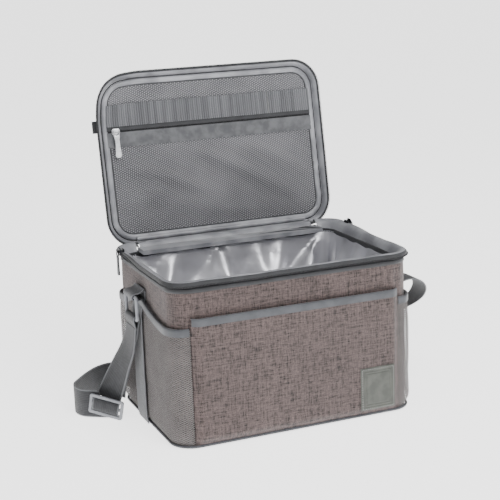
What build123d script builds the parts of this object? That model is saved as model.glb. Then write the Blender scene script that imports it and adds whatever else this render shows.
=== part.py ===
from build123d import *
import math
import os

# Insulated cooler bag, lid standing open.  Millimetres, +Z up.  The front faces -Y, the lid hinges
# along the back.  The origin is the centre of the base, on the surface that the bag stands on.

# ---- driving dimensions -----------------------------------------------------------------------
WIDTH, DEPTH, RIM_Z = 310.0, 218.0, 194.0   # outside of the walls, and the top of the rim
CORNER = 26.0                               # plan radius of the four upright corners
SEAM_X = 135.0                              # half the distance between the upright seams
CLOTH, FOAM, LINER, BOARD = 1.2, 6.0, 0.8, 1.5
TRIM = 0.8                                  # thin binding tape
WEBBING, WEB_THICK = 36.0, 1.6              # shoulder strap webbing

TAPE_RISE, TAPE_FLARE, TAPE_THICK = 8.0, 37.0, 1.0   # half of the main zip's tape, flare in degrees
COIL, COIL_GAP = 2.4, 1.4                   # coil section, and the space between the closed coils
HINGE_HALF = 125.0                          # half length of the lid's cloth hinge
PIVOT_Y, PIVOT_Z = DEPTH / 2 + 2.6, 200.0   # line that the cloth hinge folds about
LID_LEAN = 10.0                             # how far the open lid leans back past upright

POCKET_GAP = 6.0                            # how far the outside pockets stand off the walls
FRONT_POCKET_Z, SIDE_POCKET_Z = 160.0, 150.0
BINDING_H, SIDE_HEM_H = 9.0, 7.0            # height of the top binding, front pocket and side pockets
LABEL = (80.0, 127.0, 10.0, 65.0)           # x from, x to, z from, z to of the blank label
LABEL_THICK = 1.0

STRAP_Y = 5.0                               # centre of the strap's anchor on each side wall
TAB_Z, TAB_OVER = 166.0, 7.0                # height of the ring's top bar, and the webbing above it
RING_W, RING_H, RING_R = 44.0, 28.0, 2.2    # ring between bar centres, and bar radius
RING_OUT = 14.5                             # from the side wall to the ring

RING_ROUND, BAR_INSET = 1.2, 0.05           # side bars' edge radius, and the round bars' step inside them
LOOP_ROOM, END_ROOM, END_TAIL = 0.8, 0.3, 12.0   # room round the ring's bars, and the sewn tail below

MAIN_SLIDER_Y = 70.0                        # where the main sliders are parked
POCKET_ZIP_Y = -38.0                        # lid pocket's zip, with the lid shut
POCKET_SLIDER_X = -134.0

# ---- sizes worked out from them ---------------------------------------------------------------
BIG = 900.0
BODY_COIL_Z = RIM_Z + TAPE_RISE
LID_COIL_Z = BODY_COIL_Z + COIL + COIL_GAP
LID_Z = LID_COIL_Z + COIL + TAPE_RISE       # underside of the lid when it is shut
LID_TOP = LID_Z + LINER + FOAM + CLOTH
COIL_INSET = -(TAPE_RISE * math.tan(math.radians(TAPE_FLARE)) - 1.5)   # centre line of the coils
FLOOR_Z = CLOTH + BOARD                     # underside of the base foam
WALL_TOP = RIM_Z - TRIM
LINER_IN = CLOTH + FOAM + LINER

NODES = {}


def block(x0, x1, y0, y1, z0, z1):
    return Pos((x0 + x1) / 2, (y0 + y1) / 2, (z0 + z1) / 2) * Box(x1 - x0, y1 - y0, z1 - z0)


def plan(inset):
    return RectangleRounded(WIDTH - 2 * inset, DEPTH - 2 * inset, CORNER - inset)


def slab(inset, z0, z1):
    return Pos(0, 0, z0) * extrude(plan(inset), amount=z1 - z0)


def wall(outer, inner, z0, z1):
    return Pos(0, 0, z0) * extrude(plan(outer) - plan(inner), amount=z1 - z0)


def collar(z0, rise):
    """Thin tape that stands on the plan and flares outwards as it rises."""
    shells = [extrude(plan(i), amount=rise, taper=-TAPE_FLARE) for i in (1.0, 1.0 + TAPE_THICK)]
    return Pos(0, 0, z0) * (shells[0] - shells[1])


def front_zone():
    return block(-SEAM_X, SEAM_X, -BIG, 0, -BIG, BIG)


def back_zone():
    return block(-SEAM_X, SEAM_X, 0, BIG, -BIG, BIG)


def side_zone(side, edge=SEAM_X):
    near, far = sorted((side * edge, side * BIG))
    return block(near, far, -BIG, BIG, -BIG, BIG)


def hinge_zone():
    return block(-HINGE_HALF, HINGE_HALF, 0, BIG, -BIG, BIG)


def open_lid(shape):
    """Turn a piece drawn on the shut lid to where it is with the lid open."""
    turn = Pos(0, PIVOT_Y, PIVOT_Z) * Rot(-(90 + LID_LEAN), 0, 0) * Pos(0, -PIVOT_Y, -PIVOT_Z)
    return turn * shape


def ribbon(stations, width, thick):
    """Flat webbing through stations, each a centre and the direction of the webbing's width."""
    faces = []
    for i, (centre, across) in enumerate(stations):
        before, after = stations[max(i - 1, 0)][0], stations[min(i + 1, len(stations) - 1)][0]
        across = Vector(*across).normalized()
        travel = (Vector(*after) - Vector(*before)).normalized()
        travel = (travel - across * travel.dot(across)).normalized()
        frame = Plane(origin=centre, x_dir=across, z_dir=travel)
        faces.append(frame * Rectangle(width, thick))
    return loft(faces, ruled=True)


# ---- body: base, walls, insulation and lining -------------------------------------------------
NODES["base_panel"] = slab(0, 0, CLOTH)
NODES["base_board"] = slab(CLOTH, CLOTH, FLOOR_Z)
NODES["foam_base"] = slab(CLOTH + FOAM, FLOOR_Z, FLOOR_Z + FOAM)
for name, inset, thick, low in (("panel", 0, CLOTH, CLOTH), ("foam", CLOTH, FOAM, FLOOR_Z)):
    around = wall(inset, inset + thick, low, WALL_TOP)
    zones = {"front": front_zone(), "back": back_zone(), "left": side_zone(-1), "right": side_zone(1)}
    for place, zone in zones.items():
        node = f"foam_{place}" if name == "foam" else f"{place}_panel"
        NODES[node] = around & zone
NODES["liner"] = slab(CLOTH + FOAM, FLOOR_Z + FOAM, WALL_TOP) - slab(LINER_IN, FLOOR_Z + FOAM + LINER, BIG)

# ---- rim: binding over the raw edge, then the lower half of the main zip -----------------------
BINDING_DROP = 7.0
rim_outer = wall(-TRIM, LINER_IN + TRIM, RIM_Z - BINDING_DROP, RIM_Z)
NODES["rim_binding"] = rim_outer - wall(0, LINER_IN, 0, WALL_TOP)
NODES["body_zip_tape"] = collar(RIM_Z, TAPE_RISE) - hinge_zone()
coil_ring = wall(COIL_INSET - COIL / 2, COIL_INSET + COIL / 2, BODY_COIL_Z, BODY_COIL_Z + COIL)
NODES["body_zip_coil"] = coil_ring - hinge_zone()

# ---- outside pockets --------------------------------------------------------------------------
envelope = slab(0, -BIG, BIG)
POCKET_LOW = 2.0


def pocket(zone, closed, height, thick):
    """Open-topped pouch on the wall: a skin at POCKET_GAP with its ends and bottom closed."""
    outside = slab(-(POCKET_GAP + thick), POCKET_LOW, height) & zone
    inside = slab(-POCKET_GAP, POCKET_LOW + thick, BIG) & closed
    return outside - inside - envelope


MESH = 0.8
pocket_inside = block(-SEAM_X + CLOTH, SEAM_X - CLOTH, -BIG, 0, -BIG, BIG)
NODES["front_pocket"] = pocket(front_zone(), pocket_inside, FRONT_POCKET_Z - TRIM, CLOTH)
hem = wall(-(POCKET_GAP + CLOTH + TRIM), -(POCKET_GAP - TRIM), FRONT_POCKET_Z - BINDING_H, FRONT_POCKET_Z)
NODES["front_pocket_binding"] = (hem & pocket_inside) - NODES["front_pocket"]
for side, place in ((-1, "left"), (1, "right")):
    inner = side_zone(side, SEAM_X + MESH)
    NODES[f"side_pocket_{place}"] = pocket(side_zone(side), inner, SIDE_POCKET_Z - TRIM, MESH)
    hem = wall(-(POCKET_GAP + MESH + TRIM), -(POCKET_GAP - TRIM), SIDE_POCKET_Z - SIDE_HEM_H, SIDE_POCKET_Z)
    NODES[f"side_pocket_binding_{place}"] = (hem & inner) - NODES[f"side_pocket_{place}"]
label_y = -(DEPTH / 2 + POCKET_GAP + CLOTH)
NODES["label_patch"] = block(LABEL[0], LABEL[1], label_y - LABEL_THICK, label_y, LABEL[2], LABEL[3])

# ---- strap anchors: webbing up each side, a loop of it, and the ring ---------------------------
ring_x = WIDTH / 2 + RING_OUT
step_x = WIDTH / 2 + POCKET_GAP + MESH + TRIM
half = WEBBING / 2
band_y = (STRAP_Y - half, STRAP_Y + half)
TAB_TOP = TAB_Z + TAB_OVER
LOOP_R = RING_R + LOOP_ROOM                 # inside radius of the webbing loop


def mirrored(shape, side):
    return shape if side > 0 else mirror(shape, about=Plane.YZ)


def webbing_rod(z, radius):
    """A rod as long as the webbing is wide, along one of the ring's bars."""
    return extrude(Plane.XZ.offset(-band_y[1]) * Pos(ring_x, z) * Circle(radius), WEBBING)


for side, place in ((-1, "left"), (1, "right")):
    low = block(step_x, step_x + WEB_THICK, *band_y, POCKET_LOW, SIDE_POCKET_Z + WEB_THICK)
    shelf = block(WIDTH / 2, step_x + WEB_THICK, *band_y, SIDE_POCKET_Z, SIDE_POCKET_Z + WEB_THICK)
    high = block(WIDTH / 2, WIDTH / 2 + WEB_THICK, *band_y, SIDE_POCKET_Z, TAB_TOP)
    NODES[f"side_webbing_{place}"] = mirrored(low + shelf + high, side)

    tab_out = LOOP_R + WEB_THICK
    outer = webbing_rod(TAB_Z, tab_out)
    outer += block(WIDTH / 2 + WEB_THICK, ring_x, *band_y, TAB_Z - tab_out, TAB_Z + tab_out)
    hole = webbing_rod(TAB_Z, LOOP_R)
    hole += block(WIDTH / 2 + WEB_THICK, ring_x, *band_y, TAB_Z - LOOP_R, TAB_Z + LOOP_R)
    NODES[f"strap_tab_{place}"] = mirrored(outer - hole, side)

    # the ring: two flat side bars joined by a round bar above and below
    ring_low, ring_out = TAB_Z - RING_H, RING_W / 2
    ring = Part()
    for y in (STRAP_Y - ring_out, STRAP_Y + ring_out):
        bar = block(-RING_R, RING_R, y - RING_R, y + RING_R, ring_low - RING_R, TAB_Z + RING_R)
        ring += fillet(bar.edges().filter_by(Axis.X), RING_ROUND)
    for z in (TAB_Z, ring_low):
        ring += Pos(0, STRAP_Y, z) * Rot(90, 0, 0) * Cylinder(RING_R - BAR_INSET, RING_W)
    NODES[f"strap_ring_{place}"] = Pos(side * ring_x, 0, 0) * ring

    # the strap's end folded round the ring's lower bar
    end_r = RING_R + END_ROOM
    end_outer = webbing_rod(ring_low, end_r + WEB_THICK)
    end_hole = webbing_rod(ring_low, end_r)
    tail = block(ring_x - WEB_THICK, ring_x + WEB_THICK, *band_y, ring_low - END_TAIL, ring_low - end_r)
    NODES[f"strap_end_{place}"] = mirrored(end_outer - end_hole + (tail - end_hole), side)

# ---- shoulder strap: left strands, length adjuster, run behind the bag, right-hand loop --------
STRAND_FRONT = [((-172, 5, 122), (0.0, -1.0, 0.0)), ((-175, 12, 100), (0.1, -0.98, -0.1)),
                ((-183, 25, 70), (0.3, -0.93, -0.15)), ((-190, 36, 44), (0.5, -0.84, -0.2)),
                ((-195, 44, 22), (0.596, -0.775, -0.208))]
STRAND_REAR = [((-167, 11, 122), (0.0, -1.0, 0.0)), ((-169, 24, 100), (0.0, -0.99, -0.1)),
               ((-176, 38, 70), (0.25, -0.95, -0.15)), ((-183, 49, 44), (0.5, -0.84, -0.2)),
               ((-187, 53, 24), (0.596, -0.775, -0.208))]
EDGE_LIFT = 0.8
EDGE_Z = WEBBING / 2 + EDGE_LIFT                 # middle of webbing that stands on its edge
UP = (0.0, 0.0, -1.0)
FLOOR_RUN = [((-212, 34, EDGE_Z), UP), ((-222, 40, EDGE_Z), UP), ((-228, 56, EDGE_Z), UP),
             ((-228, 78, EDGE_Z), UP), ((-218, 101, EDGE_Z), UP), ((-203, 119, EDGE_Z), UP),
             ((-186, 135, EDGE_Z), UP), ((-168, 143, EDGE_Z), UP), ((-149, 140, EDGE_Z), UP),
             ((-120, 131, EDGE_Z), UP), ((-70, 125, EDGE_Z), UP), ((0, 123, EDGE_Z), UP),
             ((60, 125, EDGE_Z), UP), ((105, 131, EDGE_Z), UP)]
RIGHT_RUN = [((107, 131, EDGE_Z), UP), ((135, 134, 23), (0.0, 0.1, -1.0)),
             ((163, 130, 31), (-0.1, 0.4, -0.9)), ((190, 112, 45), (-0.2, 0.7, -0.65)),
             ((213, 82, 60), (-0.15, 0.9, -0.4)), ((231, 52, 76), (-0.1, 0.98, -0.2)),
             ((240, 28, 93), (-0.05, 1.0, -0.05)), ((240, 12, 110), (0.0, 1.0, 0.0)),
             ((228, 6, 123), (0.0, 1.0, 0.0)), ((207, 5, 128), (0.0, 1.0, 0.0)),
             ((186, 5, 124), (0.0, 1.0, 0.0)), ((172, 5, 118), (0.0, 1.0, 0.0))]
NODES["strap_strand_front"] = ribbon(STRAND_FRONT, WEBBING, WEB_THICK)
NODES["strap_strand_rear"] = ribbon(STRAND_REAR, WEBBING, WEB_THICK)
NODES["strap_floor_run"] = ribbon(FLOOR_RUN, WEBBING, WEB_THICK)
NODES["strap_right_run"] = ribbon(RIGHT_RUN, WEBBING, WEB_THICK)

# The adjuster is a frame with a middle bar; the webbing goes behind the frame and over the bar.
GLIDE_AT, GLIDE_W, GLIDE_H, GLIDE_T, GLIDE_BAR = (-202.0, 34.0, 17.0), 46.0, 26.0, 2.6, 4.0
GLIDE_CORNER, WRAP_ROOM = 3.0, 0.4
glide_across = Vector(*STRAND_FRONT[-1][1]).normalized()     # as the end of the front strand lies
strap_rise = Vector(0.12, -0.17, 0.98)
glide_up = (strap_rise - glide_across * strap_rise.dot(glide_across)).normalized()
glide_plane = Plane(origin=GLIDE_AT, x_dir=glide_across, z_dir=glide_across.cross(glide_up))
frame = RectangleRounded(GLIDE_W, GLIDE_H, GLIDE_CORNER)
frame -= Rectangle(GLIDE_W - 2 * GLIDE_BAR, GLIDE_H - 2 * GLIDE_BAR)
frame += Rectangle(GLIDE_W - GLIDE_BAR, GLIDE_BAR)
NODES["tri_glide"] = extrude(glide_plane * frame, GLIDE_T / 2, both=True)
bar_room = GLIDE_BAR / 2 + WRAP_ROOM
wrap_in = GLIDE_T + 2 * WRAP_ROOM
wrap = Rectangle(2 * (bar_room + WEB_THICK), wrap_in + 2 * WEB_THICK) - Rectangle(2 * bar_room, wrap_in)
wrap_plane = Plane(origin=GLIDE_AT, x_dir=glide_up, z_dir=glide_across)
NODES["strap_glide_wrap"] = extrude(wrap_plane * wrap, WEBBING / 2, both=True)

# ---- lid, drawn shut and then opened -----------------------------------------------------------
lid = {}
lid["lid_lining"] = slab(CLOTH, LID_Z, LID_Z + LINER)
lid["lid_foam"] = slab(CLOTH, LID_Z + LINER, LID_Z + LINER + FOAM)
lid["lid_panel"] = slab(0, LID_Z, LID_TOP) - slab(CLOTH, 0, LID_TOP - CLOTH)
PIPING = 2.2
lid["lid_piping"] = wall(-PIPING, 0, LID_Z, LID_Z + PIPING)
lid["lid_zip_tape"] = Pos(0, 0, 2 * LID_Z) * Rot(180, 0, 0) * collar(LID_Z, TAPE_RISE) - hinge_zone()
coil_ring = wall(COIL_INSET - COIL / 2, COIL_INSET + COIL / 2, LID_COIL_Z, LID_COIL_Z + COIL)
lid["lid_zip_coil"] = coil_ring - hinge_zone()
BORDER = 12.0
INSIDE_Z = LID_Z - TRIM                      # underside of the border band
BORDER_OUT, MESH_UNDER = 2.5, 3.0            # band's outer edge, and how far the net goes past its inner edge
lid["lid_border_band"] = wall(BORDER_OUT, BORDER, INSIDE_Z, LID_Z)
PANEL_X = WIDTH / 2 - BORDER + MESH_UNDER
PANEL_Y = DEPTH / 2 - BORDER + MESH_UNDER
MESH_CORNER = CORNER - BORDER + MESH_UNDER
TAPE_LOW, TAPE_HIGH, BAND_H = 19.0, 5.0, 29.0   # widths of the pocket zip's two tapes and the band
mesh = Pos(0, 0, INSIDE_Z - TRIM) * extrude(RectangleRounded(2 * PANEL_X, 2 * PANEL_Y, MESH_CORNER), TRIM)
band_y0 = POCKET_ZIP_Y - COIL / 2 - TAPE_HIGH
lid["lid_mesh_lower"] = mesh & block(-BIG, BIG, POCKET_ZIP_Y + COIL / 2 + TAPE_LOW, BIG, 0, BIG)
lid["lid_mesh_upper"] = mesh & block(-BIG, BIG, -BIG, band_y0 - BAND_H, 0, BIG)
TAPE_CLEAR = 0.5
TAPE_X = PANEL_X - TAPE_CLEAR
skin_z = (INSIDE_Z - TRIM, INSIDE_Z)
zip_low, zip_high = POCKET_ZIP_Y - COIL / 2, POCKET_ZIP_Y + COIL / 2
lid["pocket_zip_tape_low"] = block(-TAPE_X, TAPE_X, zip_high, zip_high + TAPE_LOW, *skin_z)
lid["pocket_zip_tape_high"] = block(-TAPE_X, TAPE_X, zip_low - TAPE_HIGH, zip_low, *skin_z)
lid["pocket_zip_coil"] = block(-TAPE_X, TAPE_X, zip_low, zip_high, INSIDE_Z - COIL, INSIDE_Z)
lid["inner_webbing_band"] = block(-TAPE_X, TAPE_X, band_y0 - BAND_H, band_y0, INSIDE_Z - WEB_THICK, INSIDE_Z)
GRAB_Y, GRAB_OUT, GRAB_HALF, GRAB_THICK = -46.0, 12.0, 8.0, 3.0   # grab tab in the left edge seam
lid["lid_grab_tab"] = block(-WIDTH / 2 - GRAB_OUT, -WIDTH / 2 - PIPING, GRAB_Y - GRAB_HALF,
                            GRAB_Y + GRAB_HALF, LID_Z, LID_Z + GRAB_THICK)

HANDLE_W, HANDLE_X, HANDLE_RISE, HANDLE_FLAT = 25.0, 105.0, 24.0, 34.0
HANDLE_THICK, HANDLE_RAMP = 3.0, 22.0        # two layers of webbing, and the length that each rise takes
foot_x = HANDLE_X - HANDLE_FLAT
top_x = foot_x - HANDLE_RAMP
profile = Polyline((-HANDLE_X, 0), (-foot_x, 0), (-top_x, HANDLE_RISE), (top_x, HANDLE_RISE), (foot_x, 0),
                   (HANDLE_X, 0))
lower = [tuple(v)[:2] for v in profile.vertices()]
upper = [(x, z + HANDLE_THICK) for x, z in reversed(lower)]
outline = Plane.XZ.offset(-HANDLE_W / 2) * Pos(0, LID_TOP) * make_face(Polyline(*lower, *upper, close=True))
lid["carry_handle"] = extrude(outline, HANDLE_W)
GRIP_HALF, GRIP_OVER, GRIP_ROUND = 38.0, 2.0, 1.8
grip_z = LID_TOP + HANDLE_RISE
grip = block(-GRIP_HALF, GRIP_HALF, -HANDLE_W / 2 - GRIP_OVER, HANDLE_W / 2 + GRIP_OVER,
             grip_z - GRIP_OVER, grip_z + HANDLE_THICK + GRIP_OVER)
lid["handle_grip"] = fillet(grip.edges().filter_by(Axis.X), GRIP_ROUND) - lid["carry_handle"]
HINGE_GAP, HINGE_CLEAR = 1.4, 2.0            # gap at the fold, and at the ends of the zip
hinge_x = HINGE_HALF - HINGE_CLEAR
hinge_y = (DEPTH / 2 - CLOTH, DEPTH / 2)
NODES["hinge_strip_lower"] = block(-hinge_x, hinge_x, *hinge_y, RIM_Z, PIVOT_Z - HINGE_GAP)
lid["hinge_strip_upper"] = block(-hinge_x, hinge_x, *hinge_y, PIVOT_Z + HINGE_GAP, LID_Z)

# lid pocket slider: a channel over the coil, with a bail for its pull
SLIDER_L, SLIDER_W, SLIDER_ROOM, PLATE = 11.0, 8.0, 0.4, 1.0
coil_face = INSIDE_Z - COIL
slider_face = coil_face - SLIDER_ROOM - PLATE
x0, x1 = POCKET_SLIDER_X - SLIDER_L / 2, POCKET_SLIDER_X + SLIDER_L / 2
y0, y1 = POCKET_ZIP_Y - SLIDER_W / 2, POCKET_ZIP_Y + SLIDER_W / 2
slider = block(x0, x1, y0, y1, slider_face, skin_z[0] - SLIDER_ROOM)
slider -= block(x0 - 1, x1 + 1, zip_low - SLIDER_ROOM, zip_high + SLIDER_ROOM, coil_face - SLIDER_ROOM, BIG)
BAIL_R, BAIL_OUT, EAR, EAR_HALF, EYE_W, EYE_PLAY = 0.8, 2.6, 1.0, 1.4, 5.4, 0.4
bail_half = EYE_W / 2 + EYE_PLAY + EAR
bail_z = slider_face - BAIL_OUT
for sx in (-1, 1):
    a, b = sorted((POCKET_SLIDER_X + sx * bail_half, POCKET_SLIDER_X + sx * (bail_half - EAR)))
    slider += block(a, b, POCKET_ZIP_Y - EAR_HALF, POCKET_ZIP_Y + EAR_HALF, bail_z - BAIL_R, slider_face)
slider += Pos(POCKET_SLIDER_X, POCKET_ZIP_Y, bail_z) * Rot(0, 90, 0) * Cylinder(BAIL_R, 2 * bail_half - EAR)
lid["pocket_slider"] = slider
EYE_IN, EYE_OUT, PULL_T = 1.2, 2.2, 1.4
PULL_L, MAIN_PULL_L, PULL_W, PULL_ROUND, PULL_LAP = 34.0, 30.0, 9.0, 2.5, 0.4
tube = Cylinder(EYE_OUT, EYE_W) - Cylinder(EYE_IN, BIG)
eye = Pos(POCKET_SLIDER_X, POCKET_ZIP_Y, bail_z) * Rot(0, 90, 0) * tube
leaf = block(POCKET_SLIDER_X - PULL_W / 2, POCKET_SLIDER_X + PULL_W / 2, POCKET_ZIP_Y + EYE_OUT - PULL_LAP,
             POCKET_ZIP_Y + PULL_L, bail_z - PULL_T / 2, bail_z + PULL_T / 2)
leaf = fillet(leaf.edges().filter_by(Axis.Z), PULL_ROUND)
lid["pocket_pull"] = eye + leaf

for name, shape in lid.items():
    NODES[name] = open_lid(shape)

# ---- main sliders and their pulls, on the body's half of the zip --------------------------------
RIDGE_Z = BODY_COIL_Z + COIL + COIL_GAP / 2
ROOM, INNER_HALF, OUTER_HALF = 0.5, 3.4, 5.2   # room round the coils, and half heights of the two plates
POST, POST_BACK, PULL_DROP = 0.8, 1.5, 1.6     # post's thickness and set-back, and the bail below the ridge
coil_x = WIDTH / 2 - COIL_INSET
inner_x, outer_x = coil_x - COIL / 2 - ROOM, coil_x + COIL / 2 + ROOM
for side, place in ((-1, "left"), (1, "right")):
    y0, y1 = MAIN_SLIDER_Y - SLIDER_L / 2, MAIN_SLIDER_Y + SLIDER_L / 2
    body = block(inner_x - PLATE, inner_x, y0, y1, RIDGE_Z - INNER_HALF, RIDGE_Z + INNER_HALF)
    body += block(outer_x, outer_x + PLATE, y0, y1, RIDGE_Z - OUTER_HALF, RIDGE_Z + OUTER_HALF)
    body += block(inner_x - PLATE / 2, outer_x + PLATE / 2, y0 + POST_BACK, y1 - POST_BACK,
                  RIDGE_Z - POST / 2, RIDGE_Z + POST / 2)
    bail_x, pull_z = outer_x + PLATE + BAIL_OUT, RIDGE_Z - PULL_DROP
    for sy in (-1, 1):
        a, b = sorted((MAIN_SLIDER_Y + sy * bail_half, MAIN_SLIDER_Y + sy * (bail_half - EAR)))
        body += block(outer_x + PLATE / 2, bail_x + BAIL_R, a, b, pull_z - EAR_HALF, pull_z + EAR_HALF)
    body += Pos(bail_x, MAIN_SLIDER_Y, pull_z) * Rot(90, 0, 0) * Cylinder(BAIL_R, 2 * bail_half - EAR)
    NODES[f"main_slider_{place}"] = mirrored(body, side)
    tube = Cylinder(EYE_OUT, EYE_W) - Cylinder(EYE_IN, BIG)
    eye = Pos(bail_x, MAIN_SLIDER_Y, pull_z) * Rot(90, 0, 0) * tube
    leaf = block(bail_x - PULL_T / 2, bail_x + PULL_T / 2, MAIN_SLIDER_Y - PULL_W / 2,
                 MAIN_SLIDER_Y + PULL_W / 2, pull_z - MAIN_PULL_L, pull_z - EYE_OUT + PULL_LAP)
    leaf = fillet(leaf.edges().filter_by(Axis.X), PULL_ROUND)
    NODES[f"main_pull_{place}"] = mirrored(eye + leaf, side)

os.makedirs("parts", exist_ok=True)
for name, shape in NODES.items():
    export_step(shape, f"parts/{name}.step")
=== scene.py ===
import math

import bmesh
import bpy
from mathutils import Matrix, Vector, noise


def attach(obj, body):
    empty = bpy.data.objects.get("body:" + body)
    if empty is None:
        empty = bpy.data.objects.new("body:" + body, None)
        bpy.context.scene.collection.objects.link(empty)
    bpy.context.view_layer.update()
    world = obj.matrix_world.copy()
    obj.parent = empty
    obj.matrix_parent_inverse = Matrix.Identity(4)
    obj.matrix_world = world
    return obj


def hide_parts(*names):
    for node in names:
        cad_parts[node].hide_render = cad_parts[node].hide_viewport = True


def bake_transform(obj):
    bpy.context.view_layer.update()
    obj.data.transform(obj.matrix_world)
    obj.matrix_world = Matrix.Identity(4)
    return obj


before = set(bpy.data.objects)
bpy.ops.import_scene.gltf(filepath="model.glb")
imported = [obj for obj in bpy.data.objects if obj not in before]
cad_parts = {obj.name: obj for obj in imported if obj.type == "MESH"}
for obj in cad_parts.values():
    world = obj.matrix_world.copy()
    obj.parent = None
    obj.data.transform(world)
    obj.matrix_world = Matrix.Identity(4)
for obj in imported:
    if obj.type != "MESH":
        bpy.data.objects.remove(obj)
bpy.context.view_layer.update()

# ---- Camera, floor and light -------------------------------------------------------------------
# A pale studio sweep and soft overhead light. The camera looks slightly down at the bag from the
# left of its front.
MM = 0.001
CAMERA_TURN, CAMERA_RISE, CAMERA_ROLL = math.radians(22.07), math.radians(13.52), math.radians(-2.18)
CAMERA_AWAY, CAMERA_AIM, CAMERA_LENS = 1.56, Vector((-0.0128, 0, 0.2029)), 89.6
back = Vector((-math.sin(CAMERA_TURN) * math.cos(CAMERA_RISE),
               -math.cos(CAMERA_TURN) * math.cos(CAMERA_RISE), math.sin(CAMERA_RISE)))
right = Vector((math.cos(CAMERA_TURN), -math.sin(CAMERA_TURN), 0))
up = back.cross(right)
across = right * math.cos(CAMERA_ROLL) + up * math.sin(CAMERA_ROLL)
upright = up * math.cos(CAMERA_ROLL) - right * math.sin(CAMERA_ROLL)
bpy.ops.object.camera_add()
camera = bpy.context.object
camera.matrix_world = Matrix.Translation(CAMERA_AIM + back * CAMERA_AWAY) @ Matrix(
    (across, upright, back)).transposed().to_4x4()
camera.data.lens = CAMERA_LENS
camera.data.sensor_width = 36
bpy.context.scene.camera = camera

bpy.ops.mesh.primitive_plane_add(size=60)
floor = bpy.context.object
floor.name = "studio_floor"
paper = bpy.data.materials.new("pale_floor")
paper.use_nodes = True
paper_shader = paper.node_tree.nodes["Principled BSDF"]
paper_shader.inputs["Base Color"].default_value = (0.86, 0.86, 0.86, 1)
paper_shader.inputs["Roughness"].default_value = 0.9
paper_shader.inputs["Emission Color"].default_value = (1, 1, 1, 1)
paper_shader.inputs["Emission Strength"].default_value = 2.2
floor.data.materials.append(paper)

studio = bpy.data.worlds.new("studio_light")
bpy.context.scene.world = studio
studio.use_nodes = True
studio.node_tree.nodes["Background"].inputs["Color"].default_value = (1, 1, 1, 1)
studio.node_tree.nodes["Background"].inputs["Strength"].default_value = 0.3


def softbox(name, place, aim, size, power):
    """A square lamp of that size, turned towards a point."""
    bpy.ops.object.light_add(type="AREA", location=place)
    lamp = bpy.context.object
    lamp.name = name
    lamp.data.size = size
    lamp.data.energy = power
    lamp.rotation_euler = (Vector(aim) - Vector(place)).to_track_quat("-Z", "Y").to_euler()


softbox("key_light", (0.5, -1.9, 1.5), (0, 0, 0.2), 1.1, 34)
softbox("top_light", (0.1, -0.5, 1.9), (0, 0.1, 0.1), 1.2, 16)
softbox("left_fill", (-1.8, -0.7, 0.8), (0, 0, 0.2), 0.9, 2.5)

# ---- Outer cloth: base, four walls and the base piping -----------------------------------------
# The bag's outside is a melange woven polyester, cut as a base and four walls, sewn at upright
# seams either side of the corners. A thin piping closes the seam round the base.
WIDTH, DEPTH, RIM_Z, CORNER, SEAM_X = 310.0, 218.0, 194.0, 26.0, 135.0
CLOTH, LINER_IN, WALL_TOP = 1.2, 8.0, 193.2


class Socket:
    """A shader socket: numbers go through its operators, anything else through node()."""

    def __init__(self, tree, link):
        self.tree, self.link = tree, link

    def node(self, kind, settings, values, out=0):
        made = self.tree.nodes.new(kind)
        for name, value in settings.items():
            if name == "stops":
                for extra in value[2:]:
                    made.color_ramp.elements.new(extra[0])
                for element, (place, colour) in zip(made.color_ramp.elements, value):
                    element.position, element.color = place, colour
            else:
                setattr(made, name, value)
        for name, value in values.items():
            if isinstance(value, Socket):
                self.tree.links.new(value.link, made.inputs[name])
            else:
                made.inputs[name].default_value = value
        return Socket(self.tree, made.outputs[out])

    def maths(self, operation, *values):
        return self.node("ShaderNodeMath", {"operation": operation}, dict(enumerate(values)))

    def __add__(self, other):
        return self.maths("ADD", self, other)

    def __radd__(self, other):
        return self.maths("ADD", other, self)

    def __sub__(self, other):
        return self.maths("SUBTRACT", self, other)

    def __rsub__(self, other):
        return self.maths("SUBTRACT", other, self)

    def __mul__(self, other):
        return self.maths("MULTIPLY", self, other)

    def __rmul__(self, other):
        return self.maths("MULTIPLY", other, self)

    def __gt__(self, other):
        return self.maths("GREATER_THAN", self, other)

    def __lt__(self, other):
        return self.maths("LESS_THAN", self, other)

    def sine(self):
        return self.maths("SINE", self)

    def size(self):
        return self.maths("ABSOLUTE", self)

    def part(self, axis):
        return self.node("ShaderNodeSeparateXYZ", {}, {0: self}, out=axis)

    def stretch(self, x, y, z, shift=0.0):
        return self.node("ShaderNodeMapping", {}, {"Vector": self, "Scale": (x, y, z),
                                                   "Location": (shift, shift, shift)})

    def cloud(self, scale=1.0, detail=2.0, rough=0.5):
        return self.node("ShaderNodeTexNoise", {}, {"Vector": self, "Scale": scale, "Detail": detail,
                                                    "Roughness": rough})

    def between(self, low, high):
        """0 below low, 1 above high and smooth in between."""
        return self.node("ShaderNodeMapRange", {"interpolation_type": "SMOOTHSTEP"},
                         {"Value": self, "From Min": low, "From Max": high})

    def blend(self, first, second):
        """A colour that goes from first to second as this number goes from 0 to 1."""
        return self.node("ShaderNodeMix", {"data_type": "RGBA"}, {0: self, 6: first, 7: second}, out=2)

    def bump(self, strength, distance):
        return self.node("ShaderNodeBump", {}, {"Height": self, "Strength": strength,
                                                "Distance": distance})


def new_finish(name, **constants):
    """A material with its constant sockets set, and its object and UV coordinates."""
    finish = bpy.data.materials.new(name)
    finish.use_nodes = True
    tree = finish.node_tree
    for socket, value in constants.items():
        tree.nodes["Principled BSDF"].inputs[socket.replace("_", " ")].default_value = value
    coords = tree.nodes.new("ShaderNodeTexCoord")
    return finish, Socket(tree, coords.outputs["Object"]), Socket(tree, coords.outputs["UV"])


def wire(finish, **sockets):
    """Join varying values to the shader."""
    shader = finish.node_tree.nodes["Principled BSDF"]
    for name, value in sockets.items():
        finish.node_tree.links.new(value.link, shader.inputs[name.replace("_", " ")])


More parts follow.
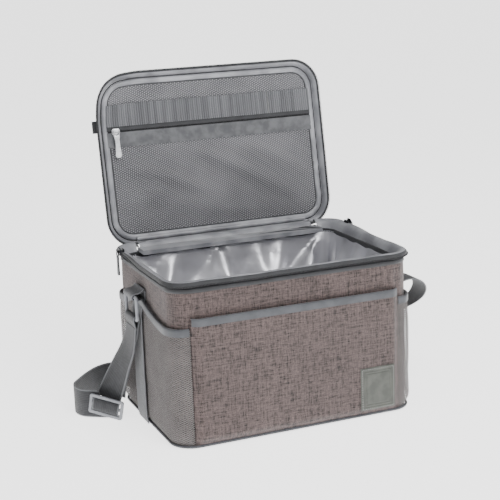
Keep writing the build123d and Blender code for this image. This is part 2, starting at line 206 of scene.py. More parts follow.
def tint(red, green, blue):
    """A colour chosen on a screen, as the shader needs it."""
    return tuple(((c / 255 + 0.055) / 1.055) ** 2.4 for c in (red, green, blue)) + (1,)


def only(piece):
    """Leave edit mode, and make this the one selected and active piece."""
    if bpy.context.mode != "OBJECT":
        bpy.ops.object.mode_set(mode="OBJECT")
    bpy.ops.object.select_all(action="DESELECT")
    bpy.context.view_layer.objects.active = piece
    piece.select_set(True)


def edit(piece, kind="VERT", test=None):
    """Open the piece in edit mode with those elements selected whose middle, in mm, passes the test."""
    only(piece)
    bpy.ops.object.mode_set(mode="EDIT")
    bpy.ops.mesh.select_mode(type=kind)
    bpy.ops.mesh.select_all(action="DESELECT" if test else "SELECT")
    if test:
        cloth = bmesh.from_edit_mesh(piece.data)
        for element in {"VERT": cloth.verts, "EDGE": cloth.edges, "FACE": cloth.faces}[kind]:
            corners = [element] if kind == "VERT" else element.verts
            middle = sum((v.co for v in corners), Vector()) / len(corners) / MM
            if test(middle, element):
                element.select_set(True)
        cloth.select_flush_mode()
        bmesh.update_edit_mesh(piece.data)


def hoop(name, levels, corner=CORNER, turns=9, least=2.0):
    """A band round the bag's plan, through levels of (inset from the wall's face, height)."""
    bpy.ops.object.select_all(action="DESELECT")
    bpy.ops.mesh.primitive_plane_add(size=1)
    piece = bpy.context.object
    piece.name = name
    edit(piece)
    bpy.ops.mesh.delete(type="VERT")
    count = 4 * (turns + 1)
    closed = levels[0] == levels[-1]
    for i, (inset, z) in enumerate(levels[:-1] if closed else levels):
        bpy.ops.mesh.select_all(action="DESELECT")
        bpy.ops.mesh.primitive_plane_add(size=1, location=(0, 0, z * MM))
        bpy.ops.transform.resize(value=((WIDTH - 2 * inset) * MM, (DEPTH - 2 * inset) * MM, 1))
        bpy.ops.mesh.bevel(offset=max(corner - inset, least) * MM, segments=turns, affect="VERTICES")
        bpy.ops.mesh.delete(type="ONLY_FACE")
        if i:
            bpy.ops.mesh.select_all(action="DESELECT")
            edit(piece, "VERT", lambda middle, v, low=(i - 1) * count: v.index >= low)
            bpy.ops.mesh.bridge_edge_loops()
    if closed:
        last = len(piece.data.vertices)
        edit(piece, "VERT", lambda middle, v: v.index < count or v.index >= last - count)
        bpy.ops.mesh.bridge_edge_loops()
    only(piece)
    return piece


def split_runs(piece, longest):
    """Cut long straight edges into even lengths, all along the band they cross."""
    for axis in range(3):
        def is_run(middle, edge):
            way = edge.verts[1].co - edge.verts[0].co
            return way.length > longest * MM and abs(way[axis]) > 0.9 * way.length
        edit(piece, "EDGE", is_run)
        cloth = bmesh.from_edit_mesh(piece.data)
        lengths = [e.calc_length() / MM for e in cloth.edges if e.select]
        if lengths:
            bpy.ops.mesh.subdivide(number_cuts=max(1, round(max(lengths) / longest) - 1))
    only(piece)


def cut(piece, point, away):
    """Trim off what lies beyond a plane, on the side that away points to."""
    edit(piece)
    bpy.ops.mesh.bisect(plane_co=Vector(point) * MM, plane_no=away, clear_outer=True)
    only(piece)


def push(piece, move):
    """Shape the piece by moving each point, in mm."""
    for vertex in piece.data.vertices:
        vertex.co = Vector(move(*(vertex.co / MM))) * MM


def thicken(piece, thick, offset=-1.0, bevel=0.0):
    """Give a sheet its thickness in mm; offset -1 grows it inwards."""
    shape(piece, "SOLIDIFY", thickness=thick * MM, offset=offset)
    if bevel:
        shape(piece, "BEVEL", width=bevel * MM, segments=2, limit_method="ANGLE")


def shape(piece, kind, **settings):
    """Add a modifier and apply it."""
    only(piece)
    modifier = piece.modifiers.new(kind.lower(), kind)
    for name, value in settings.items():
        setattr(modifier, name, value)
    bpy.ops.object.modifier_apply(modifier=modifier.name)


def turn_out(piece):
    """Make every face point outwards."""
    edit(piece)
    bpy.ops.mesh.remove_doubles(threshold=0.02 * MM)
    bpy.ops.mesh.normals_make_consistent(inside=False)
    only(piece)


def run(x, y):
    """How far along the bag's plan a place is, in mm from the middle of the front."""
    straight_x, straight_y = WIDTH / 2 - CORNER, DEPTH / 2 - CORNER
    arc = CORNER * math.pi / 2
    px, py = abs(x), y
    if px <= straight_x:
        along = px if py < 0 else 2 * (straight_x + arc + straight_y) - px
    elif py <= -straight_y:
        along = straight_x + CORNER * math.atan2(px - straight_x, -py - straight_y)
    elif py < straight_y:
        along = straight_x + arc + py + straight_y
    else:
        along = straight_x + arc + 2 * straight_y + CORNER * math.atan2(py - straight_y, px - straight_x)
    return math.copysign(along, x)


def lay_grain(piece):
    """UV in metres that runs round the walls and up them, and straight over level faces."""
    grain = piece.data.uv_layers.new(name="grain") if not piece.data.uv_layers else piece.data.uv_layers[0]
    for face in piece.data.polygons:
        level = abs(face.normal.z) > 0.75
        behind = face.center.y > 0 and abs(face.center.x) < (SEAM_X + 0.5) * MM
        for loop in face.loop_indices:
            x, y, z = piece.data.vertices[piece.data.loops[loop].vertex_index].co / MM
            if level:
                u, v = x, y
            else:
                u, v = (3000 - x if behind else run(x, y)), z
            grain.data[loop].uv = (u * MM, v * MM)


def dress(piece, finish, body, slot, *nodes, angle=50):
    """Smooth the piece, give it its finish, and fix it to its body."""
    only(piece)
    bpy.ops.object.shade_smooth_by_angle(angle=math.radians(angle))
    piece.data.materials.clear()
    piece.data.materials.append(finish)
    if body:
        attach(piece, body)
    if nodes:
        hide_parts(*nodes)
    return piece


def smooth_step(value, low, high):
    share = min(1.0, max(0.0, (value - low) / (high - low)))
    return share * share * (3 - 2 * share)


def ripple(x, y, z, scale):
    """Soft unevenness of hand-filled cloth, from -1 to 1, in waves about scale mm long."""
    return noise.noise(Vector((x, y, z)) / scale)


melange, melange_place, melange_grain = new_finish("melange_cloth", Roughness=0.92, Sheen_Weight=0.25,
                                                   Sheen_Roughness=0.5)
across_yarn = melange_grain.stretch(130, 720, 1).cloud(1.0, 2.0, 0.6)
up_yarn = melange_grain.stretch(720, 130, 1, 7.0).cloud(1.0, 2.0, 0.6)
long_slub = melange_grain.stretch(32, 430, 1, 3.0).cloud(1.0, 1.0)
tall_slub = melange_grain.stretch(430, 32, 1, 11.0).cloud(1.0, 1.0)
YARN = math.pi / 0.00085
weave = (melange_grain.part(0) * YARN).sine() * (melange_grain.part(1) * YARN).sine()
over = weave.between(-0.25, 0.25)
fleck = (across_yarn * over + up_yarn * (1 - over)) * 0.6 + (long_slub + tall_slub) * 0.2
shade = fleck.node("ShaderNodeValToRGB", {"stops": [
    (0.39, tint(20, 16, 17)), (0.61, tint(112, 96, 93)), (0.465, tint(36, 29, 30)),
    (0.53, tint(50, 41, 41))]}, {0: fleck})
wear = melange_place.cloud(9, 2).between(0.35, 0.7)
melange_colour = (wear * 0.12).blend(shade, tint(58, 49, 49))
yarn_height = weave.size() * 0.6 + fleck * 0.8
wire(melange, Base_Color=melange_colour, Normal=yarn_height.bump(0.5, 0.0006))

walls = hoop("front_wall", [(0.2, 1.2), (0, 3), (0, 192.0), (0.3, WALL_TOP)])
split_runs(walls, 7)


def padded_wall(x, y, z):
    """Foam behind the cloth rounds each panel out; the upright seams draw it in."""
    seam = smooth_step(abs(abs(x) - SEAM_X), 0, 4)
    fill = smooth_step(z, 0, 30) * smooth_step(RIM_Z - z, 0, 26)
    swell = (0.9 + 0.5 * ripple(x, y, z, 55)) * fill * smooth_step(abs(abs(x) - SEAM_X), 0, 30)
    out = swell - 0.9 * (1 - seam)
    way = Vector((x / WIDTH * 2, y / DEPTH * 2)).normalized() if abs(x) > 129 and abs(y) > 83 else (
        Vector((math.copysign(1, x), 0)) if abs(x) > 129 else Vector((0, math.copysign(1, y))))
    return x + way[0] * out, y + way[1] * out, z


wall_cuts = {
    "front_wall": ((SEAM_X, 0, 0), (1, 0, 0), (-SEAM_X, 0, 0), (-1, 0, 0), (0, 0, 0), (0, 1, 0)),
    "back_wall": ((SEAM_X, 0, 0), (1, 0, 0), (-SEAM_X, 0, 0), (-1, 0, 0), (0, 0, 0), (0, -1, 0)),
    "left_wall": ((-SEAM_X, 0, 0), (1, 0, 0)),
    "right_wall": ((SEAM_X, 0, 0), (-1, 0, 0)),
}


def copy_of(piece, name):
    """A copy with its own mesh."""
    twin = piece.copy()
    twin.data = piece.data.copy()
    twin.name = name
    bpy.context.scene.collection.objects.link(twin)
    return twin


for name, planes in wall_cuts.items():
    wall = copy_of(walls, name + "_cloth")
    for point, away in zip(planes[::2], planes[1::2]):
        cut(wall, point, away)
    push(wall, padded_wall)
    turn_out(wall)
    lay_grain(wall)
    thicken(wall, CLOTH)
    dress(wall, melange, "root", "outer_cloth", name.replace("wall", "panel"))
bpy.data.objects.remove(walls)

base = hoop("base_cloth", [(0.3, 1.4), (0.9, 0.4), (3, 0.0), (12, 0.0), (14, 0.6), (30, 0.7), (60, 0.5),
                           (100, 0.5)], turns=7)
edit(base, "VERT", lambda middle, v: abs(middle.x) < 56 and abs(middle.y) < 10)
bpy.ops.mesh.edge_face_add()
turn_out(base)
lay_grain(base)
dress(base, melange, "root", "outer_cloth", "base_panel", angle=30)

# ---- Trims: satin binding over the rim, piping round the base ----------------------------------
# A woven grosgrain tape covers the raw edges at the rim, and a thin round piping is caught in the
# seam between the walls and the base.
tape_grey, tape_place, tape_grain = new_finish("trim_tape", Roughness=0.55, Sheen_Weight=0.3)
tape_rib = (tape_grain.part(0) * 5200).sine()
tape_tone = tape_place.cloud(60, 3).between(0.3, 0.7)
wire(tape_grey, Base_Color=(tape_tone * 0.6 + tape_rib * 0.15 + 0.1).blend(tint(54, 56, 61), tint(76, 78, 83)),
     Normal=(tape_rib * 0.5 + tape_tone).bump(0.35, 0.0003))

# Dark grey tape finish. The rim binding is made in it. It is also used as painted shade: on the zip tapes' lips beside
# the coils, on the lid pocket's narrow tape under the ribbed band, and as thin cords in the lid border's seam grooves.
rim_tape, rim_place, rim_grain = new_finish("rim_tape", Roughness=0.6, Sheen_Weight=0.2)
rim_rib = (rim_grain.part(0) * 5200).sine()
wire(rim_tape, Base_Color=(rim_place.cloud(60, 3).between(0.3, 0.7) * 0.6 + rim_rib * 0.15 + 0.1).blend(
    tint(30, 31, 34), tint(50, 51, 55)), Normal=rim_rib.bump(0.3, 0.0003))

satin, satin_place, satin_grain = new_finish("satin_tape", Roughness=0.38, Sheen_Weight=0.2,
                                             Specular_IOR_Level=0.6)
crinkle = satin_place.cloud(140, 4, 0.6)
wire(satin, Base_Color=satin_place.cloud(35, 2).between(0.3, 0.7).blend(tint(112, 113, 118), tint(152, 153, 158)),
     Normal=crinkle.bump(0.35, 0.0008))

rim = hoop("rim_binding_tape", [(-0.8, 189.4), (-1.3, 190.4), (-1.3, 192), (-0.7, 193.9), (0.8, 194.5), (4, 194.6),
                           (7.4, 194.4), (8.8, 193.4), (9.3, 190), (9.0, 185.5), (8.1, 185.5), (8.2, 193.0),
                           (0, 193.3), (-0.1, 189.4), (-0.8, 189.4)], turns=8)
split_runs(rim, 12)
push(rim, lambda x, y, z: (x, y, z + 0.5 * ripple(x, y, 0, 40)))
turn_out(rim)
lay_grain(rim)
dress(rim, rim_tape, "root", "binding", "rim_binding", angle=35)


def cord_levels(inset, z, radius, sides=8):
    """Levels for a round cord that runs round the plan."""
    turn = 2 * math.pi / sides
    levels = [(inset + radius * math.cos(i * turn), z + radius * math.sin(i * turn)) for i in range(sides)]
    return levels + levels[:1]


piping = hoop("base_piping", cord_levels(-2.4, 3.0, 1.7), turns=8)
split_runs(piping, 14)
turn_out(piping)
lay_grain(piping)
dress(piping, tape_grey, "root", "binding", angle=60)

# ---- Main zip, lower half ----------------------------------------------------------------------
# The zip's tape is sewn inside the rim and flops outwards, and its spiral of dark nylon coil runs
# along the outer edge. It stops at the cloth hinge behind.
HINGE_HALF = 125.0
coil_grey, coil_place, coil_grain = new_finish("nylon_coil", Roughness=0.42)
wire(coil_grey, Base_Color=coil_place.cloud(300, 2).between(0.3, 0.7).blend(tint(22, 22, 24), tint(44, 45, 48)),
     Normal=coil_place.cloud(900, 2).bump(0.2, 0.0002))


def leave_hinge(piece):
    """Take out the stretch along the cloth hinge."""
    edit(piece, "FACE", lambda middle, face: middle.y > 90 and abs(middle.x) < HINGE_HALF)
    bpy.ops.mesh.delete(type="FACE")
    only(piece)


body_tape = hoop("body_zip_tape_woven", [(8.4, 192.6), (7.0, 196.4), (4.6, 200.8), (1.8, 203.6), (-0.8, 204.4),
                                   (-3.2, 203.2), (-4.8, 201.2), (-5.8, 198.8), (-5.2, 198.0)], turns=9)
split_runs(body_tape, 8)


def droop(y):
    """The zip hangs lowest round the front and is held up where the sliders are parked."""
    return smooth_step(48 - y, 0, 60)


def beyond(x, y, corner=CORNER):
    """How far a place is outside the plan, whose corners have that radius."""
    from_x, from_y = abs(x) - WIDTH / 2 + corner, abs(y) - DEPTH / 2 + corner
    return math.hypot(from_x, from_y) - corner if min(from_x, from_y) > 0 else max(from_x, from_y) - corner


def flop(x, y, z):
    lift = (1 - droop(y)) * 4.2 * smooth_step(beyond(x, y), 0, 5)
    wave = 0.9 * ripple(x, y, 0, 34) * smooth_step(abs(y - 70), 8, 30) if z > 195 else 0
    return x, y, min(z + lift, 205.2) + wave


push(body_tape, flop)
leave_hinge(body_tape)
turn_out(body_tape)
lay_grain(body_tape)
thicken(body_tape, 0.5)
dress(body_tape, satin, "root", "zip_tape", "body_zip_tape", angle=60)


def shade_tape_lip(piece, test):
    """Painted shade: faces of the tape's lip beside the coil get the dark tape finish, for the shade along the coil."""
    piece.data.materials.append(rim_tape)
    for face in piece.data.polygons:
        if test(*(face.center / MM)):
            face.material_index = 1


# painted shade along the body tape's lip beside the coil
shade_tape_lip(body_tape, lambda x, y, z: beyond(x, y) > 2.4)


def coil_along(name, inset, z, corner=CORNER, pitch=1.7):
    """A zip coil: one bent loop of nylon repeated along the plan, ending at the hinge."""
    bpy.ops.object.select_all(action="DESELECT")
    bpy.ops.mesh.primitive_plane_add(size=1)
    line = bpy.context.object
    line.name = name + "_line"
    edit(line)
    bpy.ops.transform.resize(value=((WIDTH - 2 * inset) * MM, (DEPTH - 2 * inset) * MM, 1))
    bpy.ops.mesh.bevel(offset=(corner - inset) * MM, segments=10, affect="VERTICES")
    bpy.ops.mesh.delete(type="ONLY_FACE")
    split_runs(line, 15)
    edit(line, "EDGE", lambda middle, edge: middle.y > 90 and abs(middle.x) < HINGE_HALF - 4)
    bpy.ops.mesh.delete(type="EDGE")
    only(line)
    bpy.ops.object.convert(target="CURVE")
    line.data.dimensions = "2D"
    bpy.ops.mesh.primitive_torus_add(major_radius=0.85 * MM, minor_radius=0.42 * MM, major_segments=8,
                                     minor_segments=5, rotation=(0, math.pi / 2, 0))
    coil = bpy.context.object
    coil.name = name
    bpy.ops.transform.rotate(value=math.radians(14), orient_axis="Z", center_override=(0, 0, 0))
    bpy.ops.object.transform_apply(location=True, rotation=True, scale=True)
    shape(coil, "ARRAY", fit_type="FIT_CURVE", curve=line, use_relative_offset=False,
          use_constant_offset=True, constant_offset_displace=(pitch * MM, 0, 0))
    shape(coil, "CURVE", object=line)
    bpy.data.objects.remove(line)
    push(coil, lambda x, y, low: (x, y, low + z))
    return coil


body_coil = coil_along("body_zip_coil_nylon", -5.4, 202.2)
push(body_coil, lambda x, y, z: (x, y, z - 4.0 * droop(y) + 0.9 * ripple(x, y, 0, 34) * smooth_step(abs(y - 70), 8, 30)))
dress(body_coil, coil_grey, "root", "zip_coil", "body_zip_coil", angle=80)

# ---- Lining ------------------------------------------------------------------------------------
# The inside is a welded sheet of silver-grey vinyl, a little larger than the box it hangs in, so
# it buckles into soft creases. It is sewn under the rim only.
lining, lining_place, lining_grain = new_finish("vinyl_lining", Metallic=0.6, Specular_IOR_Level=0.7)
lining_tone = lining_place.cloud(14, 3).between(0.3, 0.7)
wire(lining, Base_Color=lining_tone.blend(tint(184, 184, 189), tint(224, 224, 229)),
     Roughness=lining_place.cloud(50, 3) * 0.2 + 0.24,
     Normal=(lining_place.cloud(120, 4, 0.55) * 0.7 + lining_place.cloud(500, 2) * 0.15).bump(0.3, 0.0012))

liner_levels = [(9.0, 191.0), (8.8, 184.0), (8.6, 170.0), (8.6, 22.0), (9.5, 13.0), (14.0, 10.3), (24.0, 10.0),
                (60.0, 10.0), (99, 10)]
vinyl = hoop("lining", liner_levels, turns=5, least=9.0)
split_runs(vinyl, 6)
edit(vinyl, "EDGE", lambda middle, edge: edge.is_boundary and middle.z < 11)
bpy.ops.mesh.edge_face_add()
only(vinyl)


def facet(across, down, cell):
    """Distance to the nearest of a scatter of points: sharp valleys between rounded cones."""
    return noise.voronoi(Vector((across / cell, down / cell, 3.0)))[0][0]


# once round the plan from the middle of the front, and the sharp tucks that hang from the rim: where
# each starts, where it would reach the floor, its half width and its depth
ROUND = 4 * (WIDTH / 2 - CORNER + CORNER * math.pi / 2 + DEPTH / 2 - CORNER)
TUCKS = [(646, 560, 16, 13), (585, 640, 20, 12), (526, 480, 15, 15), (508, 600, 22, 9), (470, 440, 18, 8),
         (432, 470, 13, 8), (364, 500, 14, 15), (338, 345, 9, 12), (304, 318, 15, 9), (268, 300, 13, 8),
         (232, 210, 14, 9), (196, 235, 12, 8), (700, 690, 15, 10), (745, 770, 14, 9), (800, 780, 15, 9)]


def crease(x, y, z):
    """Folds where the spare vinyl gathers: slanting facets that meet in ridges."""
    if z < 11 or z > 190:
        return 0.0
    along, drop = run(x, y), RIM_Z - z
    lean = along + 0.45 * drop * math.sin(along / 47)
    large = facet(lean, drop * 0.62, 52)
    small = facet(lean + 0.3 * drop, drop * 0.5, 23)
    hold = min(1.0, max(0.0, drop - 4) / 42) * smooth_step(z, 10, 40)
    tucks = sum(deep * max(0.0, 1 - abs(along % ROUND - top - (low - top) * drop / 180) / (
        wide * (0.45 + min(1.2, drop / 55)))) for top, low, wide, deep in TUCKS)
    return min(26.0, 1.35 * tucks + 5 * large + 3.5 * small + 0.8 * ripple(y, z, x, 17)) * hold


def hang_vinyl(x, y, z):
    deep = crease(x, y, z)
    way = Vector((x, y * WIDTH / DEPTH)).normalized() if abs(x) > 120 and abs(y) > 75 else (
        Vector((math.copysign(1, x), 0)) if abs(x) / WIDTH > abs(y) / DEPTH else Vector((0, math.copysign(1, y))))
    return x - way[0] * deep, y - way[1] * deep, z


push(vinyl, hang_vinyl)
shape(vinyl, "SUBSURF", levels=1, render_levels=1)
edit(vinyl)
bpy.ops.mesh.normals_make_consistent(inside=True)
only(vinyl)
thicken(vinyl, 0.4)
dress(vinyl, lining, "root", "lining", "liner", angle=180)

# ---- Front pocket ------------------------------------------------------------------------------
# A flat patch pocket of the same melange cloth covers the front between the upright seams. Its
# mouth is closed over by a flat woven binding.
FRONT_SKIN = 5.4


def front_skin(x, z):
    """Where the pocket's face stands, in mm from the middle of the bag."""
    near_seam = smooth_step(SEAM_X - abs(x), 0.2, 9)
    near_base = smooth_step(z, 2, 14)
    lift = FRONT_SKIN * near_seam * near_base
    soft = 0.55 * ripple(x, 0, z, 48) * near_seam * near_base
    return -(DEPTH / 2 + 0.9 + lift + soft)


def panel(name, x0, x1, z0, z1, steps_x, steps_z):
    """A flat rectangle of cloth that stands upright, as a grid."""
    bpy.ops.object.select_all(action="DESELECT")
    bpy.ops.mesh.primitive_grid_add(x_subdivisions=steps_x, y_subdivisions=steps_z, size=1,
                                    rotation=(math.pi / 2, 0, 0))
    piece = bpy.context.object
    piece.name = name
    bpy.ops.object.transform_apply(location=True, rotation=True, scale=True)
    push(piece, lambda x, y, z: (x0 + (x / 1000 + 0.5) * (x1 - x0), 0, z0 + (z / 1000 + 0.5) * (z1 - z0)))
    return piece


pocket = panel("front_pocket_cloth", -134.6, 134.6, 3.4, 159.0, 110, 60)
push(pocket, lambda x, y, z: (x, front_skin(x, z), z))
lay_grain(pocket)
thicken(pocket, CLOTH, 0.0)
dress(pocket, melange, "root", "outer_cloth", "front_pocket")

# folded tape over the pocket's mouth: down outside, over the edge and down inside
BIND_PATH = [(1.5, -9.0), (1.7, -6.0), (1.7, -3.0), (1.5, -0.9), (0.8, 0.3), (-0.8, 0.3), (-1.5, -0.9), (-1.6, -6.0)]


def bind(name, place, steps):
    """A folded tape along an edge; place gives a point and its outward way for a share of its length."""
    bpy.ops.object.select_all(action="DESELECT")
    bpy.ops.mesh.primitive_grid_add(x_subdivisions=steps, y_subdivisions=len(BIND_PATH) - 1, size=1)
    piece = bpy.context.object
    piece.name = name
    grain = piece.data.uv_layers[0] if piece.data.uv_layers else piece.data.uv_layers.new(name="grain")
    spots = [v.co.copy() for v in piece.data.vertices]
    for loop in piece.data.loops:
        spot = spots[loop.vertex_index]
        grain.data[loop.index].uv = ((spot.x + 0.5) * 0.3, (spot.y + 0.5) * 0.02)
    for vertex, spot in zip(piece.data.vertices, spots):
        outward, lift = BIND_PATH[round((spot.y + 0.5) * (len(BIND_PATH) - 1))]
        point, way = place(spot.x + 0.5)
        vertex.co = (Vector(point) + Vector(way) * outward + Vector((0, 0, lift))) * MM
    turn_out(piece)
    thicken(piece, 0.5)
    return piece


def front_mouth(share):
    x = -133.9 + 267.8 * share
    return (x, front_skin(x, 158), 159.4), (0, -1, 0)


front_binding = bind("front_pocket_edge_tape", front_mouth, 90)
dress(front_binding, tape_grey, "root", "binding", "front_pocket_binding", angle=60)

# ---- Blank label -------------------------------------------------------------------------------
# A small patch of grey-green leatherette with a pressed double border, sewn on near the pocket's
# lower corner. Its face is left blank.
LABEL_X, LABEL_Z, LABEL_W, LABEL_H = 103.5, 37.5, 47.0, 55.0
leatherette, leather_place, leather_grain = new_finish("leatherette", Roughness=0.5)
pebble = leather_place.node("ShaderNodeTexVoronoi", {"feature": "DISTANCE_TO_EDGE"},
                            {"Vector": leather_place, "Scale": 900})
wire(leatherette, Base_Color=leather_place.cloud(80, 3).between(0.3, 0.7).blend(tint(64, 66, 61), tint(82, 84, 78)),
     Normal=(pebble * 1.2 + leather_place.cloud(300, 2) * 0.5).bump(0.3, 0.0004))
label = panel("label_patch_leatherette", LABEL_X - LABEL_W / 2, LABEL_X + LABEL_W / 2, LABEL_Z - LABEL_H / 2,
              LABEL_Z + LABEL_H / 2, 96, 112)


def pressed_label(x, y, z):
    """The pressed lines stand round the patch 4 and 6 mm in from its edge."""
    edge = min(LABEL_W / 2 - abs(x - LABEL_X), LABEL_H / 2 - abs(z - LABEL_Z))
    groove = sum(0.75 * math.exp(-((edge - at) / 0.7) ** 2) for at in (4.6, 7.6))
    roll = 0.5 * (1 - smooth_step(edge, 0, 1.6))
    return x, front_skin(x, z) - 1.65 + groove + roll, z


push(label, pressed_label)
lay_grain(label)
thicken(label, 1.0)
dress(label, leatherette, "root", "label", "label_patch")

thread_grey, thread_place, thread_grain = new_finish("sewing_thread", Roughness=0.6)
wire(thread_grey, Base_Color=thread_place.cloud(400, 2).blend(tint(120, 121, 118), tint(158, 159, 156)))


def stitch_row(name, count, place, long=2.2, thick=0.55):
    """Short raised stitches: one pinched stitch, repeated, each set where place says for its share."""
    bpy.ops.object.select_all(action="DESELECT")
    bpy.ops.mesh.primitive_cube_add(size=1)
    row = bpy.context.object
    row.name = name
    edit(row, "VERT", lambda middle, v: v.co.z > 0)
    bpy.ops.transform.resize(value=(0.6, 0.6, 1))
    shape(row, "ARRAY", count=count, use_relative_offset=False, use_constant_offset=True,
          constant_offset_displace=(10, 0, 0))
    for vertex in row.data.vertices:
        number = round(vertex.co.x / 10)
        point, along, out = (Vector(v) for v in place((number + 0.5) / count))
        along.normalize()
        side = out.cross(along).normalized()
        part = vertex.co - Vector((10 * number, 0, 0))
        vertex.co = (point + along * part.x * long + side * part.y * thick + out * part.z * thick) * MM
    return row


def round_label(share):
    """Once round the patch, 2 mm in from its edge."""
    wide, high = LABEL_W - 4, LABEL_H - 4
    along = share * 2 * (wide + high)
    if along < wide:
        x, z, way = along - wide / 2, -high / 2, (1, 0, 0)
    elif along < wide + high:
        x, z, way = wide / 2, along - wide - high / 2, (0, 0, 1)
    elif along < 2 * wide + high:
        x, z, way = wide * 1.5 + high - along, high / 2, (1, 0, 0)
    else:
        x, z, way = -wide / 2, high * 1.5 + 2 * wide - along, (0, 0, 1)
    x, z = x + LABEL_X, z + LABEL_Z
    return (x, front_skin(x, z) - 1.75, z), way, (0, -1, 0)


label_seam = stitch_row("label_stitches", 62, round_label)
turn_out(label_seam)
dress(label_seam, thread_grey, "root", "label", angle=20)

# ---- Side pockets ------------------------------------------------------------------------------
# Each side has an open net pocket, gathered by an elastic binding that is caught in the corner
# seams and under the strap's webbing, and dips between them.
STRAP_Y, BAND_HALF = 5.0, 18.0
net, net_place, net_grain = new_finish("pocket_net", Roughness=0.8)
NET_PITCH = 2 * math.pi / 0.0046
net_u, net_v = net_grain.part(0), net_grain.part(1)
slant_a = ((net_u * 0.5 + net_v * 0.85) * NET_PITCH).sine()
slant_b = ((net_u * 0.5 - net_v * 0.85) * NET_PITCH).sine()
hole = (slant_a * slant_b).size().between(0.18, 0.5)
wire(net, Base_Color=net_place.cloud(40, 2).between(0.2, 0.8).blend(tint(104, 100, 99), tint(122, 117, 116)),
     Alpha=1 - hole * 0.95, Normal=(slant_a + slant_b).bump(0.3, 0.0004))


def mouth_height(y):
    """The binding's top edge along a side: high at the webbing, dipping towards each seam."""
    away = max(0.0, abs(y - STRAP_Y) - BAND_HALF) / 86
    return 147.5 + 16 * max(0.0, 1 - away * 1.15) ** 2.2


def net_out(x, y, z):
    """How far the net stands off the wall: sewn in at the seams and base, slack between."""
    from_seam = abs(run(x, y)) - SEAM_X if y < 0 else abs(run(SEAM_X, 109)) - abs(run(x, y))
    seam = smooth_step(from_seam, -0.5, 12)
    low = smooth_step(z, 2, 16)
    top = 1 - 0.35 * smooth_step(z, 110, 150) * smooth_step(abs(y - STRAP_Y), 20, 60)
    return 0.8 + (5.2 + 0.8 * ripple(x, y, z, 30)) * seam * low * top


def outward(x, y):
    """The way out of the wall at a place on the plan."""
    cx, cy = WIDTH / 2 - CORNER, DEPTH / 2 - CORNER
    if abs(x) <= cx:
        return Vector((0, math.copysign(1, y), 0))
    if abs(y) <= cy:
        return Vector((math.copysign(1, x), 0, 0))
    return Vector((x - math.copysign(cx, x), y - math.copysign(cy, y), 0)).normalized()


def on_side(side, share):
    """A place on the wall's plan, for a share of the way round one side from front to back."""
    arc = CORNER * math.pi / 2
    cx, cy = WIDTH / 2 - CORNER, DEPTH / 2 - CORNER
    lead = SEAM_X - cx
    far = 2 * (arc - lead) + 2 * cy
    along = share * far + lead
    flip = along > arc + cy
    if flip:
        along = 2 * (arc + cy) - along
    if along < 0:
        x, y = cx + along, -DEPTH / 2
    elif along < arc:
        turn = along / CORNER
        x, y = cx + CORNER * math.sin(turn), -cy - CORNER * math.cos(turn)
    else:
        x, y = WIDTH / 2, -cy + along - arc
    return side * x, -y if flip else y


net_base = hoop("net", [(0, 3.2), (0, 150)], turns=12)
split_runs(net_base, 5)
for side, place in ((-1, "left"), (1, "right")):
    pouch = copy_of(net_base, f"side_pocket_{place}_net")
    cut(pouch, (side * SEAM_X, 0, 0), (-side, 0, 0))

    def slack(x, y, z):
        z = 3.2 + (z - 3.2) * (mouth_height(y) - 4.2) / 146.8
        way = outward(x, y)
        out = net_out(x, y, z)
        return x + way.x * out, y + way.y * out, z

    push(pouch, slack)
    turn_out(pouch)
    lay_grain(pouch)
    thicken(pouch, 0.6)
    dress(pouch, net, "root", "mesh", f"side_pocket_{place}")

    def net_mouth(share, side=side):
        x, y = on_side(side, 0.004 + share * 0.992)
        way = outward(x, y)
        point = Vector((x, y, 0)) + way * net_out(x, y, 146)
        return (point.x, point.y, mouth_height(y)), way

    elastic = bind(f"side_pocket_edge_{place}", net_mouth, 90)
    dress(elastic, tape_grey, "root", "binding", f"side_pocket_binding_{place}", angle=60)
bpy.data.objects.remove(net_base)

# ---- Strap webbing on the sides ----------------------------------------------------------------
# The shoulder strap starts as a band of polyester webbing sewn down the middle of each side over
# the net. A loop of the same webbing at its top holds a moulded ring.
WEB_THICK = 1.6


def webbing_finish(name, dark, light, edge):
    """Twill webbing: fine ribs across, with a paler selvedge along both edges."""
    finish, place, grain = new_finish(name, Roughness=0.7, Sheen_Weight=0.25)
    wide, along = grain.part(0), grain.part(1)
    twill = ((along + (wide - 0.5).size() * 0.02) * 3600).sine()
    rib = (wide * 95).sine()
    tone = place.cloud(150, 3).between(0.3, 0.7)
    face = (tone * 0.5 + twill * 0.18 + rib * 0.12 + 0.2).blend(dark, light)
    border = (wide - 0.5).size().between(0.44, 0.468)
    wire(finish, Base_Color=border.blend(face, edge), Normal=(twill * 0.6 + rib * 0.6).bump(0.4, 0.0004))
    return finish


webbing = webbing_finish("strap_webbing", tint(26, 27, 30), tint(50, 51, 55), tint(100, 102, 105))
pale_webbing = webbing_finish("pale_webbing", tint(66, 67, 70), tint(92, 93, 97), tint(104, 105, 109))


def along_path(stations, share):
    """A smooth place on a line of stations, each a centre and the way the webbing's width runs."""
    spans = len(stations) - 1
    at = min(spans - 1e-6, share * spans)
    i, t = int(at), at - int(at)
    pick = [stations[min(max(i + k, 0), spans)] for k in (-1, 0, 1, 2)]
    weights = (-0.5 * t + t * t - 0.5 * t ** 3, 1 - 2.5 * t * t + 1.5 * t ** 3,
               0.5 * t + 2 * t * t - 1.5 * t ** 3, -0.5 * t * t + 0.5 * t ** 3)
    centre = sum((Vector(p[0]) * w for p, w in zip(pick, weights)), Vector())
    wide = sum((Vector(p[1]).normalized() * w for p, w in zip(pick, weights)), Vector())
    return centre, wide.normalized()


